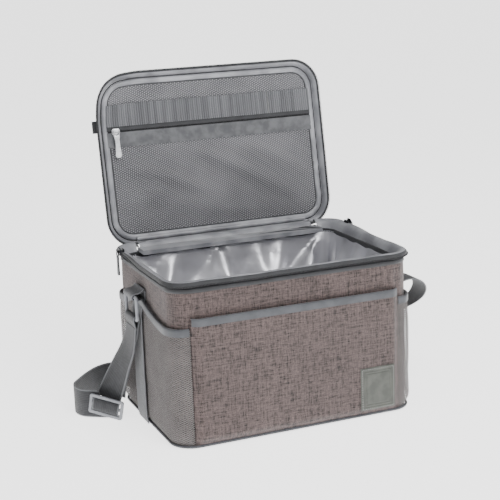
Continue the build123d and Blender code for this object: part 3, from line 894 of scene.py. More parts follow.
def ribbon(name, stations, width, steps, thick=WEB_THICK, columns=6):
    """Flat webbing laid along stations, in mm."""
    bpy.ops.object.select_all(action="DESELECT")
    bpy.ops.mesh.primitive_grid_add(x_subdivisions=columns, y_subdivisions=steps, size=1)
    piece = bpy.context.object
    piece.name = name
    grain = piece.data.uv_layers[0] if piece.data.uv_layers else piece.data.uv_layers.new(name="grain")
    spots = [v.co.copy() for v in piece.data.vertices]
    lengths = [0.0]
    places = [along_path(stations, i / steps) for i in range(steps + 1)]
    for one, two in zip(places, places[1:]):
        lengths.append(lengths[-1] + (two[0] - one[0]).length)
    rows = [round((s.y + 0.5) * steps) for s in spots]
    for loop in piece.data.loops:
        spot, row = spots[loop.vertex_index], rows[loop.vertex_index]
        grain.data[loop.index].uv = (spot.x + 0.5, lengths[row] * MM)
    for vertex, spot, row in zip(piece.data.vertices, spots, rows):
        centre, wide = places[row]
        vertex.co = (centre + wide * spot.x * width) * MM
    thicken(piece, thick, 0.0, bevel=0.35)
    return piece


def level_path(points, side, y=STRAP_Y):
    """Stations for webbing that stays square to the side wall, from (distance out, height)."""
    return [((side * (WIDTH / 2 + out), y, z), (0, -side, 0)) for out, z in points]


RING_OUT, TAB_Z, RING_W, RING_H, RING_R = 14.5, 166.0, 44.0, 28.0, 2.2
plastic, plastic_place, plastic_grain = new_finish("moulded_plastic", Roughness=0.42, Specular_IOR_Level=0.45)
wire(plastic, Base_Color=plastic_place.cloud(90, 3).between(0.3, 0.7).blend(tint(124, 126, 131), tint(146, 148, 153)),
     Normal=plastic_place.cloud(1400, 2).bump(0.12, 0.0002))
for side, place in ((-1, "left"), (1, "right")):
    band = ribbon(f"side_band_{place}", level_path(
        [(6.4, 3), (8.0, 12), (8.5, 40), (8.5, 90), (8.3, 136), (7.2, 148), (4.2, 156), (2.0, 162), (1.6, 173)],
        side), 36.0, 60, thick=1.4)
    dress(band, pale_webbing, "root", "webbing", f"side_webbing_{place}")
    tab = ribbon(f"ring_loop_{place}", level_path(
        [(2.6, 157), (5.5, 160.6), (10.5, 162.2), (14.5, 162.2), (17.6, 163.6), (18.4, 166.2), (17.4, 168.8),
         (14.3, 169.9), (10, 170.4), (5.5, 172.2), (2.6, 175.5)], side), 34.0, 56, thick=1.5)
    dress(tab, pale_webbing, "root", "webbing", f"strap_tab_{place}")

    # the ring: a rounded rectangle of moulded bar
    bpy.ops.object.select_all(action="DESELECT")
    bpy.ops.mesh.primitive_plane_add(size=1, rotation=(0, math.pi / 2, 0))
    ring = bpy.context.object
    ring.name = f"strap_ring_{place}_bar"
    bpy.ops.object.transform_apply(location=True, rotation=True, scale=True)
    edit(ring)
    bpy.ops.transform.resize(value=(1, RING_W * MM, RING_H * MM))
    bpy.ops.mesh.bevel(offset=4.5 * MM, segments=6, affect="VERTICES")
    bpy.ops.mesh.delete(type="ONLY_FACE")
    only(ring)
    bpy.ops.object.convert(target="CURVE")
    ring.data.bevel_depth = RING_R * MM
    ring.data.bevel_resolution = 4
    bpy.ops.object.convert(target="MESH")
    push(ring, lambda x, y, z: (x + side * (WIDTH / 2 + RING_OUT), y + STRAP_Y, z + TAB_Z - RING_H / 2))
    turn_out(ring)
    dress(ring, plastic, f"strap_ring_{place}", "buckle_plastic", f"strap_ring_{place}", angle=60)

    fold = ribbon(f"strap_fold_{place}", level_path(
        [(13.4, 126), (12.0, 132), (10.9, 136.4), (11.6, 140.2), (14.5, 141.7), (17.4, 140.2), (18.1, 136.4),
         (17.0, 132), (15.6, 126)], side), 36.0, 48, thick=1.4)
    dress(fold, webbing, f"strap_ring_{place}", "webbing", f"strap_end_{place}")

# ---- Shoulder strap ----------------------------------------------------------------------------
# Two strands hang from the left ring to a length adjuster on the ground; from there the strap
# stands on its edge behind the bag, then rises and loops over to the right ring.
EDGE_Z = 18.8
UP = (0, 0, -1)
STRAND_FRONT = [((-171.2, 5, 127), (0, -1, 0)), ((-173, 8, 112), (0.05, -1, -0.05)), ((-176, 14, 94), (0.15, -0.98, -0.12)),
                ((-183, 25, 70), (0.3, -0.93, -0.15)), ((-190, 36, 44), (0.5, -0.84, -0.2)),
                ((-196, 43, 24), (0.596, -0.775, -0.208))]
STRAND_REAR = [((-168.4, 5, 127), (0, -1, 0)), ((-168, 14, 112), (0, -1, 0)), ((-169.4, 24, 96), (0, -0.99, -0.1)),
               ((-176, 38, 70), (0.25, -0.95, -0.15)), ((-183, 49, 44), (0.5, -0.84, -0.2)),
               ((-186, 53, 26), (0.596, -0.775, -0.208))]
FLOOR_RUN = [((-203, 40.5, 18.4), (0.25, -0.3, -0.95)), ((-214, 47, EDGE_Z), (0.1, -0.1, -1)),
             ((-226, 57, EDGE_Z), UP), ((-231, 72, EDGE_Z), UP), ((-228, 87, EDGE_Z), UP), ((-218, 101, EDGE_Z), UP), ((-203, 119, EDGE_Z), UP), ((-186, 135, EDGE_Z), UP),
             ((-168, 143, EDGE_Z), UP), ((-149, 140, EDGE_Z), UP), ((-120, 131, EDGE_Z), UP), ((-70, 125, EDGE_Z), UP),
             ((0, 123, EDGE_Z), UP), ((60, 125, EDGE_Z), UP), ((106, 131, EDGE_Z), UP)]
RIGHT_RUN = [((105.5, 131, EDGE_Z), UP), ((135, 134, 23), (0, 0.1, -1)), ((163, 130, 31), (-0.1, 0.4, -0.9)),
             ((190, 112, 45), (-0.2, 0.7, -0.65)), ((213, 82, 62), (-0.15, 0.9, -0.4)), ((231, 52, 82), (-0.1, 0.98, -0.2)),
             ((239, 28, 102), (-0.05, 1, -0.05)), ((237, 12, 120), (0, 1, 0)), ((226, 6, 133), (0, 1, 0)),
             ((207, 5, 138), (0, 1, 0)), ((187, 5, 132), (0, 1, 0)), ((171, 5, 121), (0, 1, 0))]
for name, stations, steps, node, body in (
        ("strand_front", STRAND_FRONT, 60, "strap_strand_front", "strap_ring_left"),
        ("strand_rear", STRAND_REAR, 60, "strap_strand_rear", "strap_ring_left"),
        ("floor_run", FLOOR_RUN, 150, "strap_floor_run", None),
        ("right_loop", RIGHT_RUN, 110, "strap_right_run", "strap_ring_right")):
    strap = ribbon(name, stations, 36.0, steps)
    if body:
        dress(strap, webbing, None, "webbing", node)
        side = -1 if body.endswith("left") else 1
        low, high = ((-183, 25, 70), (-171, 5, 122)) if side < 0 else ((232, 8, 118), (178, 5, 122))
        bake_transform(strap)
    else:
        dress(strap, webbing, "root", "webbing", node)

# the adjuster: a moulded frame with a middle bar, and the webbing wrapped over that bar
GLIDE_AT = Vector((-202, 34, 17))
glide_wide = Vector((0.76, -0.62, -0.2)).normalized()
glide_up = (Vector((0.12, -0.17, 0.98)) - glide_wide * Vector((0.12, -0.17, 0.98)).dot(glide_wide)).normalized()
glide_out = glide_wide.cross(glide_up)
bpy.ops.object.select_all(action="DESELECT")
bpy.ops.mesh.primitive_grid_add(x_subdivisions=3, y_subdivisions=5, size=1)
glide = bpy.context.object
glide.name = "tri_glide_frame"
COLUMNS, ROWS = (-23, -19, 19, 23), (-13, -9, -2, 2, 9, 13)
for vertex in glide.data.vertices:
    column, row = round((vertex.co.x + 0.5) * 3), round((vertex.co.y + 0.5) * 5)
    vertex.co = Vector((COLUMNS[column], ROWS[row], 0)) * MM
edit(glide, "FACE", lambda middle, face: abs(middle.x) < 5 and 4 < abs(middle.y) < 8)
bpy.ops.mesh.delete(type="FACE")
only(glide)
edit(glide, "VERT", lambda middle, v: abs(middle.x) > 22 and abs(middle.y) > 12)
bpy.ops.mesh.bevel(offset=3 * MM, segments=4, affect="VERTICES")
only(glide)
thicken(glide, 2.8, 0.0)
shape(glide, "BEVEL", width=0.7 * MM, segments=3, limit_method="ANGLE", angle_limit=math.radians(50))
push(glide, lambda x, y, z: GLIDE_AT + glide_wide * x + glide_up * y + glide_out * (z + 0.004 * y * y))
turn_out(glide)
dress(glide, plastic, "tri_glide", "buckle_plastic", "tri_glide", angle=45)
wrap_path = [(-3.4, -9.5), (0.2, -8.2), (2.0, -5.0), (2.6, 0), (2.0, 5.0), (0.2, 8.2), (-3.4, 9.5)]
wrap = ribbon("glide_bar_wrap", [(tuple(GLIDE_AT + glide_out * out + glide_up * rise), tuple(glide_wide))
                                   for out, rise in wrap_path], 36.0, 30, thick=1.4)
dress(wrap, webbing, "tri_glide", "webbing", "strap_glide_wrap")

# ---- Lid: padded panel -------------------------------------------------------------------------
# The lid is a foam panel in the same melange cloth with a round piping in its edge seam. It is
# made shut and then turned open about the cloth hinge.
LID_Z, LID_CORNER = 216.2, 33.0
PIVOT = Vector((0, 111.6, 200.0))
LID_OPEN = math.radians(-100)


def slump(x, y, z):
    """The lid's free left corner has softened into a wider round than the others."""
    inward = 5.5 * (1 - smooth_step(math.hypot(x + WIDTH / 2, y + DEPTH / 2), 12, 62))
    return x + inward * 0.8, y + inward * 0.6, z


def open_lid(piece):
    """Turn a piece made on the shut lid to where the open lid holds it."""
    push(piece, slump)
    piece.data.transform(Matrix.Translation(PIVOT * MM) @ Matrix.Rotation(LID_OPEN, 4, "X")
                         @ Matrix.Translation(-PIVOT * MM))


def dress_lid(piece, finish, slot, *nodes, angle=50):
    open_lid(piece)
    return dress(piece, finish, "lid", slot, *nodes, angle=angle)


def cap(piece, wide, deep):
    """Close the middle of a panel whose last band ends within that half width and depth."""
    edit(piece, "VERT", lambda middle, v: abs(middle.x) < wide and abs(middle.y) < deep)
    bpy.ops.mesh.edge_face_add()
    only(piece)


lid_cloth = hoop("lid_cloth", [(2.4, 216.0), (0.6, 216.4), (-0.2, 218), (-0.2, 220.6), (0.8, 222.8), (3.2, 224.0),
                               (9, 224.4), (24, 224.5), (55, 224.6), (95, 224.6)], corner=LID_CORNER)
cap(lid_cloth, 62, 16)
split_runs(lid_cloth, 16)
push(lid_cloth, lambda x, y, z: (x, y, z + (z > 223) * 0.5 * ripple(x, y, 0, 60)))
turn_out(lid_cloth)
lay_grain(lid_cloth)
dress_lid(lid_cloth, melange, "outer_cloth", "lid_panel")

lid_piping = hoop("lid_edge_piping", cord_levels(-1.2, 217.4, 1.4), corner=LID_CORNER)
split_runs(lid_piping, 14)
turn_out(lid_piping)
lay_grain(lid_piping)
dress_lid(lid_piping, tape_grey, "binding", "lid_piping", angle=60)

inner_sheet = hoop("lid_lining_sheet", [(1.4, 216.6), (2.0, 216.0), (10, 215.9), (40, 215.9), (95, 215.9)],
                   corner=LID_CORNER)
cap(inner_sheet, 62, 16)
turn_out(inner_sheet)
thicken(inner_sheet, 0.5, -1.0)
dress_lid(inner_sheet, lining, "lining", "lid_lining")

# ---- Main zip, upper half ----------------------------------------------------------------------
# The matching tape and coil are sewn round the lid's edge and stand out towards the body's half.
lid_tape = hoop("lid_zip_tape_woven", [(2.6, 216.4), (1.6, 213.4), (-0.2, 210.2), (-2.0, 208.4), (-4.2, 207.4), (-4.8, 208.0),
                                 (-3.6, 209.2), (-1.9, 211.0), (-0.6, 213.6), (0.2, 216.6)], corner=LID_CORNER)
split_runs(lid_tape, 12)
push(lid_tape, lambda x, y, z: (x, y, z + (z < 215) * 0.7 * ripple(x, y, 9, 38)))
leave_hinge(lid_tape)
turn_out(lid_tape)
lay_grain(lid_tape)
thicken(lid_tape, 0.5)
dress(lid_tape, satin, "lid", "zip_tape", "lid_zip_tape", angle=60)
# painted shade along the lid tape's lip beside the coil
shade_tape_lip(lid_tape, lambda x, y, z: beyond(x, y, LID_CORNER) > 2.3)
open_lid(lid_tape)
lid_coil = coil_along("lid_zip_coil_nylon", -4.6, 206.9, LID_CORNER)
dress_lid(lid_coil, coil_grey, "zip_coil", "lid_zip_coil", angle=80)

# ---- Lid's inside: border band and net panels --------------------------------------------------
# A soft satin band covers the seam round the inside, and the panel between is a fine honeycomb
# spacer net with a zipped pocket behind its lower part.
border = hoop("lid_border_satin", [(4.4, 216.1), (4.3, 215.0), (5.0, 214.1), (7.8, 213.5), (10.6, 214.1), (11.6, 215.0),
                                  (11.4, 216.1), (4.4, 216.1)], corner=LID_CORNER, turns=12)
split_runs(border, 4)


def crinkled(x, y, z):
    """The band is drawn up into small crinkles where it turns down the lid's right side."""
    amount = 0.25 + 0.75 * smooth_step(x, 118, 136) * smooth_step(y, -60, 30)
    return (x + amount * 1.1 * ripple(x, y, 0, 7), y + amount * 0.6 * ripple(y, x, 5, 7),
            z - (z < 215.5) * amount * 1.2 * ripple(x, y, 3, 6))


push(border, crinkled)
turn_out(border)
lay_grain(border)
dress_lid(border, satin, "lining", "lid_border_band", angle=70)
# Thin dark cords along the band's outer and inner edges: painted shade in the seam grooves.
for name, inset, z, radius in (("border_seam_outer", 3.4, 215.7, 1.0), ("border_seam_inner", 12.2, 214.7, 0.7)):
    seam = hoop(name, cord_levels(inset, z, radius, 6), corner=LID_CORNER)
    split_runs(seam, 10)
    turn_out(seam)
    lay_grain(seam)
    dress_lid(seam, rim_tape, "binding", angle=60)

spacer, spacer_place, spacer_grain = new_finish("spacer_net", Roughness=0.62, Sheen_Weight=0.35)
CELL = 2 * math.pi / 0.0027
cell_u, cell_v = spacer_grain.part(0) * CELL, spacer_grain.part(1) * CELL
comb = cell_u.maths("COSINE", cell_u) + (cell_u * 0.5 + cell_v * 0.866).maths(
    "COSINE", cell_u * 0.5 + cell_v * 0.866) + (cell_u * 0.5 - cell_v * 0.866).maths(
    "COSINE", cell_u * 0.5 - cell_v * 0.866)
dot = comb.between(-0.9, 1.6)
spacer_tone = spacer_place.cloud(12, 2).between(0.3, 0.7)
wire(spacer, Base_Color=(dot * 0.85 + spacer_tone * 0.2 - 0.05).blend(tint(58, 58, 62), tint(142, 142, 146)),
     Normal=(dot * 1.0).bump(0.7, 0.0008))


def flat_panel(name, x0, x1, y0, y1, z, steps_x, steps_y):
    """A level rectangle of cloth, as a grid."""
    bpy.ops.object.select_all(action="DESELECT")
    bpy.ops.mesh.primitive_grid_add(x_subdivisions=steps_x, y_subdivisions=steps_y, size=1)
    piece = bpy.context.object
    piece.name = name
    push(piece, lambda x, y, low: (x0 + (x / 1000 + 0.5) * (x1 - x0), y0 + (y / 1000 + 0.5) * (y1 - y0), z))
    return piece


def round_corners(piece, wide, deep, radius=22.0):
    """Trim the corners of a panel to a rounded outline, in three straight snips each."""
    for sx in (-1, 1):
        for sy in (-1, 1):
            for degrees in (20, 45, 70):
                way = Vector((sx * math.cos(math.radians(degrees)), sy * math.sin(math.radians(degrees)), 0))
                centre = Vector((sx * (wide - radius), sy * (deep - radius), 0))
                cut(piece, centre + way * radius, way)


def net_drape(x, y, z):
    """Slack in the pocket's net lies in broad soft folds that slant down from its ends."""
    edge = smooth_step(146 - abs(x), 4, 30) * smooth_step(min(y + 17.8, 100 - y), 3, 22)
    fold = 0.0
    for start_x, start_y, slope, reach, deep in ((-120, 10, 0.35, 8, 2.0), (-60, 30, 0.5, 11, 2.4), (10, 10, 0.42, 9, 2.0),
                                                 (50, 35, 0.5, 10, 2.6), (100, 20, 0.55, 10, 2.2), (-20, 70, 0.3, 12, 2.0),
                                                 (-130, 60, -0.3, 10, 1.6)):
        off = (y - start_y) - slope * (x - start_x)
        near = math.exp(-(((x - start_x) / 70) ** 2))
        fold += deep * near * math.exp(-(off / reach) ** 2)
    return x, y, z - edge * (0.4 + 1.5 * fold + 1.2 * ripple(x, y, 0, 38))


net_lower = flat_panel("lid_net_lower", -146, 146, -19, 100, 215.2, 96, 44)
push(net_lower, net_drape)
round_corners(net_lower, 146, 100)
lay_grain(net_lower)
thicken(net_lower, 0.7, 0.0)
dress_lid(net_lower, spacer, "mesh", "lid_mesh_lower")
net_upper = flat_panel("lid_net_upper", -146, 146, -100, -70, 215.2, 96, 16)
push(net_upper, lambda x, y, z: (x, y, z - 1.6 * smooth_step(138 - abs(x), 0, 30) * smooth_step(y + 97, 0, 9) * max(0, ripple(x, y, 4, 26) + 0.4)))
round_corners(net_upper, 146, 100)
lay_grain(net_upper)
thicken(net_upper, 0.7, 0.0)
dress_lid(net_upper, spacer, "mesh", "lid_mesh_upper")

# ---- Lid pocket's zip and the ribbed band above it ---------------------------------------------
# A narrow and a wide plain tape hold a nylon coil. Over the upper tape lies a band of ribbed
# webbing for clipping things to, tacked near its right end.
ZIP_Y = -38.0
plain_tape, plain_place, plain_grain = new_finish("plain_tape", Roughness=0.75, Sheen_Weight=0.2)
wire(plain_tape, Base_Color=plain_place.cloud(90, 3).between(0.3, 0.7).blend(tint(76, 77, 80), tint(98, 99, 102)),
     Normal=((plain_grain.part(0) * 6000).sine() * (plain_grain.part(1) * 6000).sine()).bump(0.3, 0.0003))
for name, y0, y1, rows, node, cloth in (
        ("pocket_tape_wide", ZIP_Y + 1.0, -17.4, 10, "pocket_zip_tape_low", plain_tape),
        # The narrow tape gets the dark tape finish: partly the tape's own dark, partly painted shade from the ribbed
        # band lying over it.
        ("pocket_tape_narrow", -46, ZIP_Y - 1.0, 4, "pocket_zip_tape_high", rim_tape)):
    tape = flat_panel(name, -145.5, 145.5, y0, y1, 214.3, 90, rows)
    push(tape, lambda x, y, z: (x, y, z - 0.5 * ripple(x, y, 2, 30) - 0.3))
    lay_grain(tape)
    thicken(tape, 0.6, 0.0)
    dress_lid(tape, cloth, "zip_tape", node)

bpy.ops.object.select_all(action="DESELECT")
bpy.ops.mesh.primitive_torus_add(major_radius=0.9 * MM, minor_radius=0.45 * MM, major_segments=8, minor_segments=5,
                                 rotation=(0, math.pi / 2, 0))
pocket_coil = bpy.context.object
pocket_coil.name = "pocket_coil"
bpy.ops.transform.rotate(value=math.radians(14), orient_axis="Z", center_override=(0, 0, 0))
bpy.ops.object.transform_apply(location=True, rotation=True, scale=True)
shape(pocket_coil, "ARRAY", count=168, use_relative_offset=False, use_constant_offset=True,
      constant_offset_displace=(1.72 * MM, 0, 0))
push(pocket_coil, lambda x, y, z: (x - 143.8, y + ZIP_Y, z + 213.7))
dress_lid(pocket_coil, coil_grey, "zip_coil", "pocket_zip_coil", angle=80)

ribbed, ribbed_place, ribbed_grain = new_finish("ribbed_webbing", Roughness=0.7, Sheen_Weight=0.25)
RIB = 2 * math.pi / 0.003
ribs = (ribbed_grain.part(0) * RIB).sine()
broad = ribbed_grain.stretch(160, 4, 1).cloud(1.0, 2).between(0.35, 0.65)
wire(ribbed, Base_Color=(ribs * 0.28 + broad * 0.4 + 0.3).blend(tint(42, 43, 46), tint(108, 109, 113)),
     Normal=(ribbed_grain.part(1) * 7000).sine().bump(0.25, 0.0003))
TACK_X = 84.0
rib_band = flat_panel("ribbed_band", -145, 145, -73.6, -44.4, 213.6, 580, 8)


def rib_shape(x, y, z):
    """Raised ribs across the band, a dip at the tack, and a slack bow between the tack and the left end."""
    tacked = 1 - smooth_step(abs(x - TACK_X), 0, 2.5)
    bow = smooth_step(TACK_X - x, 2, 20) * smooth_step(x + 145, 0, 30)
    return x, y, z - 0.28 * math.sin(x * RIB * MM) - 1.0 * bow + 0.6 * tacked


push(rib_band, rib_shape)
lay_grain(rib_band)
thicken(rib_band, 1.2, 0.0)
dress_lid(rib_band, ribbed, "webbing", "inner_webbing_band")
tack = stitch_row("band_tack", 16, lambda share: ((TACK_X, -73 + 28 * share, 212.9), (0, 1, 0), (0, 0, -1)))
turn_out(tack)
dress_lid(tack, thread_grey, "webbing", angle=20)

# ---- Cloth hinge -------------------------------------------------------------------------------
# A doubled strip of tape joins the lid to the back wall, and a soft rolled edge runs along the
# inside of each.
hinge_path = [(106.4, 189), (107.2, 194.6), (108.3, 198.4), (110.4, 200.8), (113.2, 202.2), (116.8, 202.6), (121.5, 202.0),
              (128.2, 200.8)]
hinge = ribbon("hinge_strip", [((0, y, z), (1, 0, 0)) for y, z in hinge_path], 246.0, 30, thick=0.9, columns=60)
dress(hinge, satin, None, "zip_tape", "hinge_strip_lower", "hinge_strip_upper")
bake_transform(hinge)


def close_ends(piece):
    """Fill the open ring at the left end and at the right end."""
    for side in (-1, 1):
        edit(piece, "EDGE", lambda middle, edge: edge.is_boundary and middle.x * side > 0)
        bpy.ops.mesh.edge_face_add()
    only(piece)


def rolled_edge(name, inset, z, radius, corner, reach):
    """A soft roll of tape along the hinge, closed at its ends."""
    roll = hoop(name, cord_levels(inset, z, radius, 10), corner=corner, turns=4)
    split_runs(roll, 10)
    for point, away in (((0, 80, 0), (0, -1, 0)), ((-reach, 0, 0), (-1, 0, 0)), ((reach, 0, 0), (1, 0, 0))):
        cut(roll, point, away)
    close_ends(roll)
    push(roll, lambda x, y, low: (x, y + 0.6 * ripple(x, 0, 3, 26), low + 0.7 * ripple(x, 0, 0, 22)))
    turn_out(roll)
    lay_grain(roll)
    return roll


dress(rolled_edge("hinge_roll_body", 5.6, 196.6, 2.8, CORNER, 127), satin, "root", "zip_tape")
dress_lid(rolled_edge("hinge_roll_lid", 5.4, 212.6, 3.0, LID_CORNER, 121), satin, "zip_tape")

# ---- Grab tab and carry handle -----------------------------------------------------------------
# A folded tab of webbing stands out of the lid's left edge. Outside, a webbing handle is sewn flat
# at both ends and lifts over a padded grip.
grab = ribbon("lid_grab_tab_webbing", [((-153, -46, 217.0), (0, 1, 0)), ((-158, -46, 216.7), (0, 1, 0)),
                               ((-161.6, -46, 216.9), (0, 1, 0)), ((-162.8, -46, 217.9), (0, 1, 0)),
                               ((-161.6, -46, 218.9), (0, 1, 0)), ((-158, -46, 219.1), (0, 1, 0)),
                               ((-153, -46, 218.6), (0, 1, 0))], 16.0, 36, thick=1.0)
dress_lid(grab, webbing, "webbing", "lid_grab_tab")

HANDLE_Z = 225.9
handle_path = [(105, 0), (96, 0), (84, 0), (74, 0.2), (66, 4.6), (57.5, 14.6), (49, 21.4), (38, 24.2), (20, 25.0), (0, 25.2)]
handle_stations = [((-x, 0, HANDLE_Z + z), (0, 1, 0)) for x, z in handle_path] + [
    ((x, 0, HANDLE_Z + z), (0, 1, 0)) for x, z in handle_path[-2::-1]]
handle = ribbon("carry_handle_webbing", handle_stations, 25.0, 110, thick=2.8)
dress_lid(handle, webbing, "webbing", "carry_handle")
for side, place in ((-1, "left"), (1, "right")):
    def box_stitch(share, side=side):
        """Twice across and twice along the flat end of the handle."""
        at = share * 4
        leg, t = int(at), at - int(at)
        near, far = 78, 102
        if leg == 0:
            return (side * (near + (far - near) * t), -10, HANDLE_Z + 1.45), (1, 0, 0), (0, 0, 1)
        if leg == 1:
            return (side * far, -10 + 20 * t, HANDLE_Z + 1.45), (0, 1, 0), (0, 0, 1)
        if leg == 2:
            return (side * (far - (far - near) * t), 10, HANDLE_Z + 1.45), (1, 0, 0), (0, 0, 1)
        return (side * near, 10 - 20 * t, HANDLE_Z + 1.45), (0, 1, 0), (0, 0, 1)

    sewing = stitch_row(f"handle_stitches_{place}", 28, box_stitch)
    turn_out(sewing)
    dress_lid(sewing, thread_grey, "webbing", angle=20)

grip_cloth, grip_place, grip_grain = new_finish("grip_cloth", Roughness=0.8, Sheen_Weight=0.3)
grip_weave = (grip_place.part(0) * 5000).sine() * (grip_place.part(1) * 5000).sine()
wire(grip_cloth, Base_Color=(grip_place.cloud(120, 3) * 0.8 + grip_weave * 0.12).blend(tint(82, 84, 88), tint(122, 124, 129)),
     Normal=grip_weave.bump(0.4, 0.0003))
bpy.ops.object.select_all(action="DESELECT")
bpy.ops.mesh.primitive_cube_add(size=2)
grip = bpy.context.object
grip.name = "handle_grip_sleeve"
edit(grip)
bpy.ops.mesh.subdivide(number_cuts=11)
only(grip)


def grip_shape(x, y, z):
    """A soft flattened tube, fuller in its middle, drawn in at both ends."""
    x, y, z = x / 1000, y / 1000, z / 1000
    y, z = y * math.sqrt(1 - z * z / 2), z * math.sqrt(1 - y * y / 2)
    full = 1 - 0.16 * abs(x) ** 6
    z *= full * (1 + 0.05 * (1 - x * x))
    return x * 38, y * 14.5 * full, z * 3.9 * (1.25 - 0.25 * y * y) + HANDLE_Z + 24.9


push(grip, grip_shape)
shape(grip, "SUBSURF", levels=1, render_levels=1)
dress_lid(grip, grip_cloth, "grip", "handle_grip", angle=60)
grip_seam = stitch_row("grip_stitches", 30, lambda share: (
    (-35 + 70 * share, 10.5, HANDLE_Z + 24.9 + 3.6), (1, 0, 0), (0, 0.3, 1)), long=1.7, thick=0.6)
turn_out(grip_seam)
dress_lid(grip_seam, thread_grey, "grip", angle=20)

# ---- Sliders and pulls -------------------------------------------------------------------------
# Cast zinc sliders ride on the coils: two plates joined by a post, with a bail for the pull. The
# lid pocket's pull is bright, the main zip's are dark.
def cast_metal(name, dark, light, rough):
    finish, place, grain = new_finish(name, Metallic=0.9)
    wire(finish, Base_Color=place.cloud(140, 3).between(0.3, 0.7).blend(dark, light),
         Roughness=place.cloud(420, 3) * 0.25 + rough, Normal=place.cloud(700, 2).bump(0.12, 0.0002))
    return finish


bright_metal = cast_metal("satin_zinc", tint(168, 169, 172), tint(206, 207, 210), 0.22)
dark_metal = cast_metal("dark_zinc", tint(34, 35, 38), tint(56, 57, 61), 0.35)


def plate(long, wide, low, high, nose):
    """A cast plate with rounded noses, lying level."""
    bpy.ops.object.select_all(action="DESELECT")
    bpy.ops.mesh.primitive_plane_add(size=1)
    piece = bpy.context.object
    edit(piece)
    bpy.ops.transform.resize(value=(long * MM, wide * MM, 1))
    bpy.ops.mesh.bevel(offset=nose * MM, segments=5, affect="VERTICES")
    bpy.ops.mesh.extrude_region_move(TRANSFORM_OT_translate={"value": (0, 0, (high - low) * MM)})
    only(piece)
    push(piece, lambda x, y, z: (x, y, z + low))
    turn_out(piece)
    shape(piece, "BEVEL", width=0.25 * MM, segments=2, limit_method="ANGLE", angle_limit=math.radians(50))
    return piece


def join(name, *parts):
    bpy.ops.object.select_all(action="DESELECT")
    for part in parts:
        part.select_set(True)
    bpy.context.view_layer.objects.active = parts[0]
    bpy.ops.object.join()
    parts[0].name = name
    return parts[0]


def slider_casting(name, wide, deep):
    """Along X over the coil, its face up Z: outer plate, inner plate, post and an arched bail."""
    bpy.ops.object.select_all(action="DESELECT")
    bpy.ops.mesh.primitive_torus_add(major_radius=2.5 * MM, minor_radius=0.7 * MM, major_segments=28,
                                     minor_segments=10, rotation=(math.pi / 2, 0, 0))
    bail = bpy.context.object
    bpy.ops.object.transform_apply(location=True, rotation=True, scale=True)
    push(bail, lambda x, y, z: (x * 1.3, y * 1.5, z))
    cut(bail, (0, 0, -0.2), (0, 0, -1))
    close_ends(bail)
    push(bail, lambda x, y, z: (x, y, z + 0.8))
    turn_out(bail)
    parts = [plate(11, wide, 0, 1.1, 2.6), bail, plate(7, 1.2, -deep, 0.2, 0.5)]
    if deep > 3:
        parts.append(plate(11, wide * 0.72, -deep - 1, -deep, 2.2))
    return join(name, *parts)


def pull_tab(name, long):
    """A ring eye on the bail, and a waisted leaf that runs along Y with a rounded end."""
    bpy.ops.object.select_all(action="DESELECT")
    bpy.ops.mesh.primitive_torus_add(major_radius=3.7 * MM, minor_radius=0.95 * MM, major_segments=32,
                                     minor_segments=10)
    eye = bpy.context.object
    push(eye, lambda x, y, z: (x, y + 2.2, z * 0.8))
    bpy.ops.object.select_all(action="DESELECT")
    bpy.ops.mesh.primitive_grid_add(x_subdivisions=8, y_subdivisions=24, size=1)
    leaf = bpy.context.object

    def leaf_shape(x, y, z):
        across_share, share = x / 1000 * 2, y / 1000 + 0.5
        half = 3.1 + 1.3 * smooth_step(share, 0.35, 1.0) + 0.9 * (1 - smooth_step(share, 0, 0.2))
        end = share > 0.9
        half *= math.sqrt(max(0.05, 1 - ((share - 0.9) / 0.104) ** 2)) if end else 1
        return across_share * half, 5.2 + share * (long - 5.2), 0

    push(leaf, leaf_shape)
    thicken(leaf, 1.5, 0.0)
    shape(leaf, "BEVEL", width=0.35 * MM, segments=2, limit_method="ANGLE", angle_limit=math.radians(50))
    turn_out(leaf)
    return join(name, eye, leaf)


def stand(piece, origin, along_x, along_y, up_z):
    """Place a piece made about the origin, by where its three axes go."""
    turn = Matrix((Vector(along_x), Vector(along_y), Vector(up_z))).transposed()
    piece.data.transform(Matrix.Translation(Vector(origin) * MM) @ turn.to_4x4())


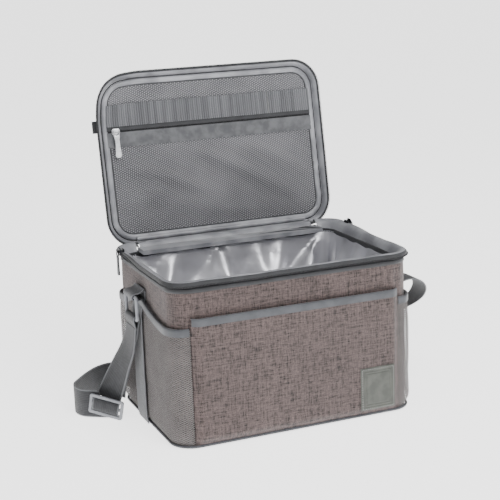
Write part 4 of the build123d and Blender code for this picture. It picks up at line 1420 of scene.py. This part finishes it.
slider = slider_casting("pocket_slider_cast", 8.0, 2.6)
stand(slider, (-134, ZIP_Y, 212.5), (1, 0, 0), (0, -1, 0), (0, 0, -1))
open_lid(slider)
dress(slider, bright_metal, "pocket_slider", "pocket_slider_metal", "pocket_slider", angle=40)
pull = pull_tab("pocket_pull_leaf", 34.0)
stand(pull, (-134, ZIP_Y, 209.6), (-1, 0, 0), (0, 1, 0), (0, 0, -1))
open_lid(pull)
dress(pull, bright_metal, "pocket_pull", "pocket_slider_metal", "pocket_pull", angle=40)
for side, place in ((-1, "left"), (1, "right")):
    main_slider = slider_casting(f"main_slider_{place}_cast", 10.4, 3.6)
    stand(main_slider, (side * 161.4, 70, 205.1), (0, side, 0), (0, 0, 1), (side, 0, 0))
    dress(main_slider, dark_metal, f"main_slider_{place}", "main_slider_metal", f"main_slider_{place}", angle=40)
    main_pull = pull_tab(f"main_pull_{place}_leaf", 30.0)
    stand(main_pull, (side * 164.6, 70, 204.6), (0, side, 0), (0, 0, -1), (-side, 0, 0))
    turn_out(main_pull)
    dress(main_pull, dark_metal, f"main_pull_{place}", "main_slider_metal", f"main_pull_{place}", angle=40)

# ---- Hidden filling ----------------------------------------------------------------------------
# Closed-cell foam sheets line the walls, base and lid, and a stiff plastic board keeps the base
# flat. They keep the shapes they are cut to.
foam, foam_place, foam_grain = new_finish("closed_cell_foam", Roughness=0.85)
cells = foam_place.node("ShaderNodeTexVoronoi", {}, {"Vector": foam_place, "Scale": 700})
wire(foam, Base_Color=cells.between(0.1, 0.6).blend(tint(232, 232, 230), tint(212, 212, 210)),
     Normal=cells.bump(0.4, 0.0005))
board, board_place, board_grain = new_finish("base_board", Roughness=0.5)
wire(board, Base_Color=board_place.cloud(60, 3).between(0.3, 0.7).blend(tint(60, 61, 64), tint(84, 85, 88)),
     Normal=board_place.cloud(900, 2).bump(0.2, 0.0003))
lid_slab = hoop("lid_foam_slab", [(95, 217.1), (12, 217.1), (3.4, 217.2), (1.8, 218.4), (1.8, 220.4), (3.2, 222.2),
                                  (9, 223.2), (95, 223.2)], corner=LID_CORNER)
for low, high in ((217, 218), (223, 224)):
    edit(lid_slab, "VERT", lambda middle, v: abs(middle.x) < 62 and abs(middle.y) < 16 and low < middle.z < high)
    bpy.ops.mesh.edge_face_add()
turn_out(lid_slab)
dress_lid(lid_slab, foam, "insulation", "lid_foam")
for node in ("foam_base", "foam_front", "foam_back", "foam_left", "foam_right", "base_board"):
    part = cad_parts[node]
    part.data.materials.clear()
    part.data.materials.append(board if node == "base_board" else foam)
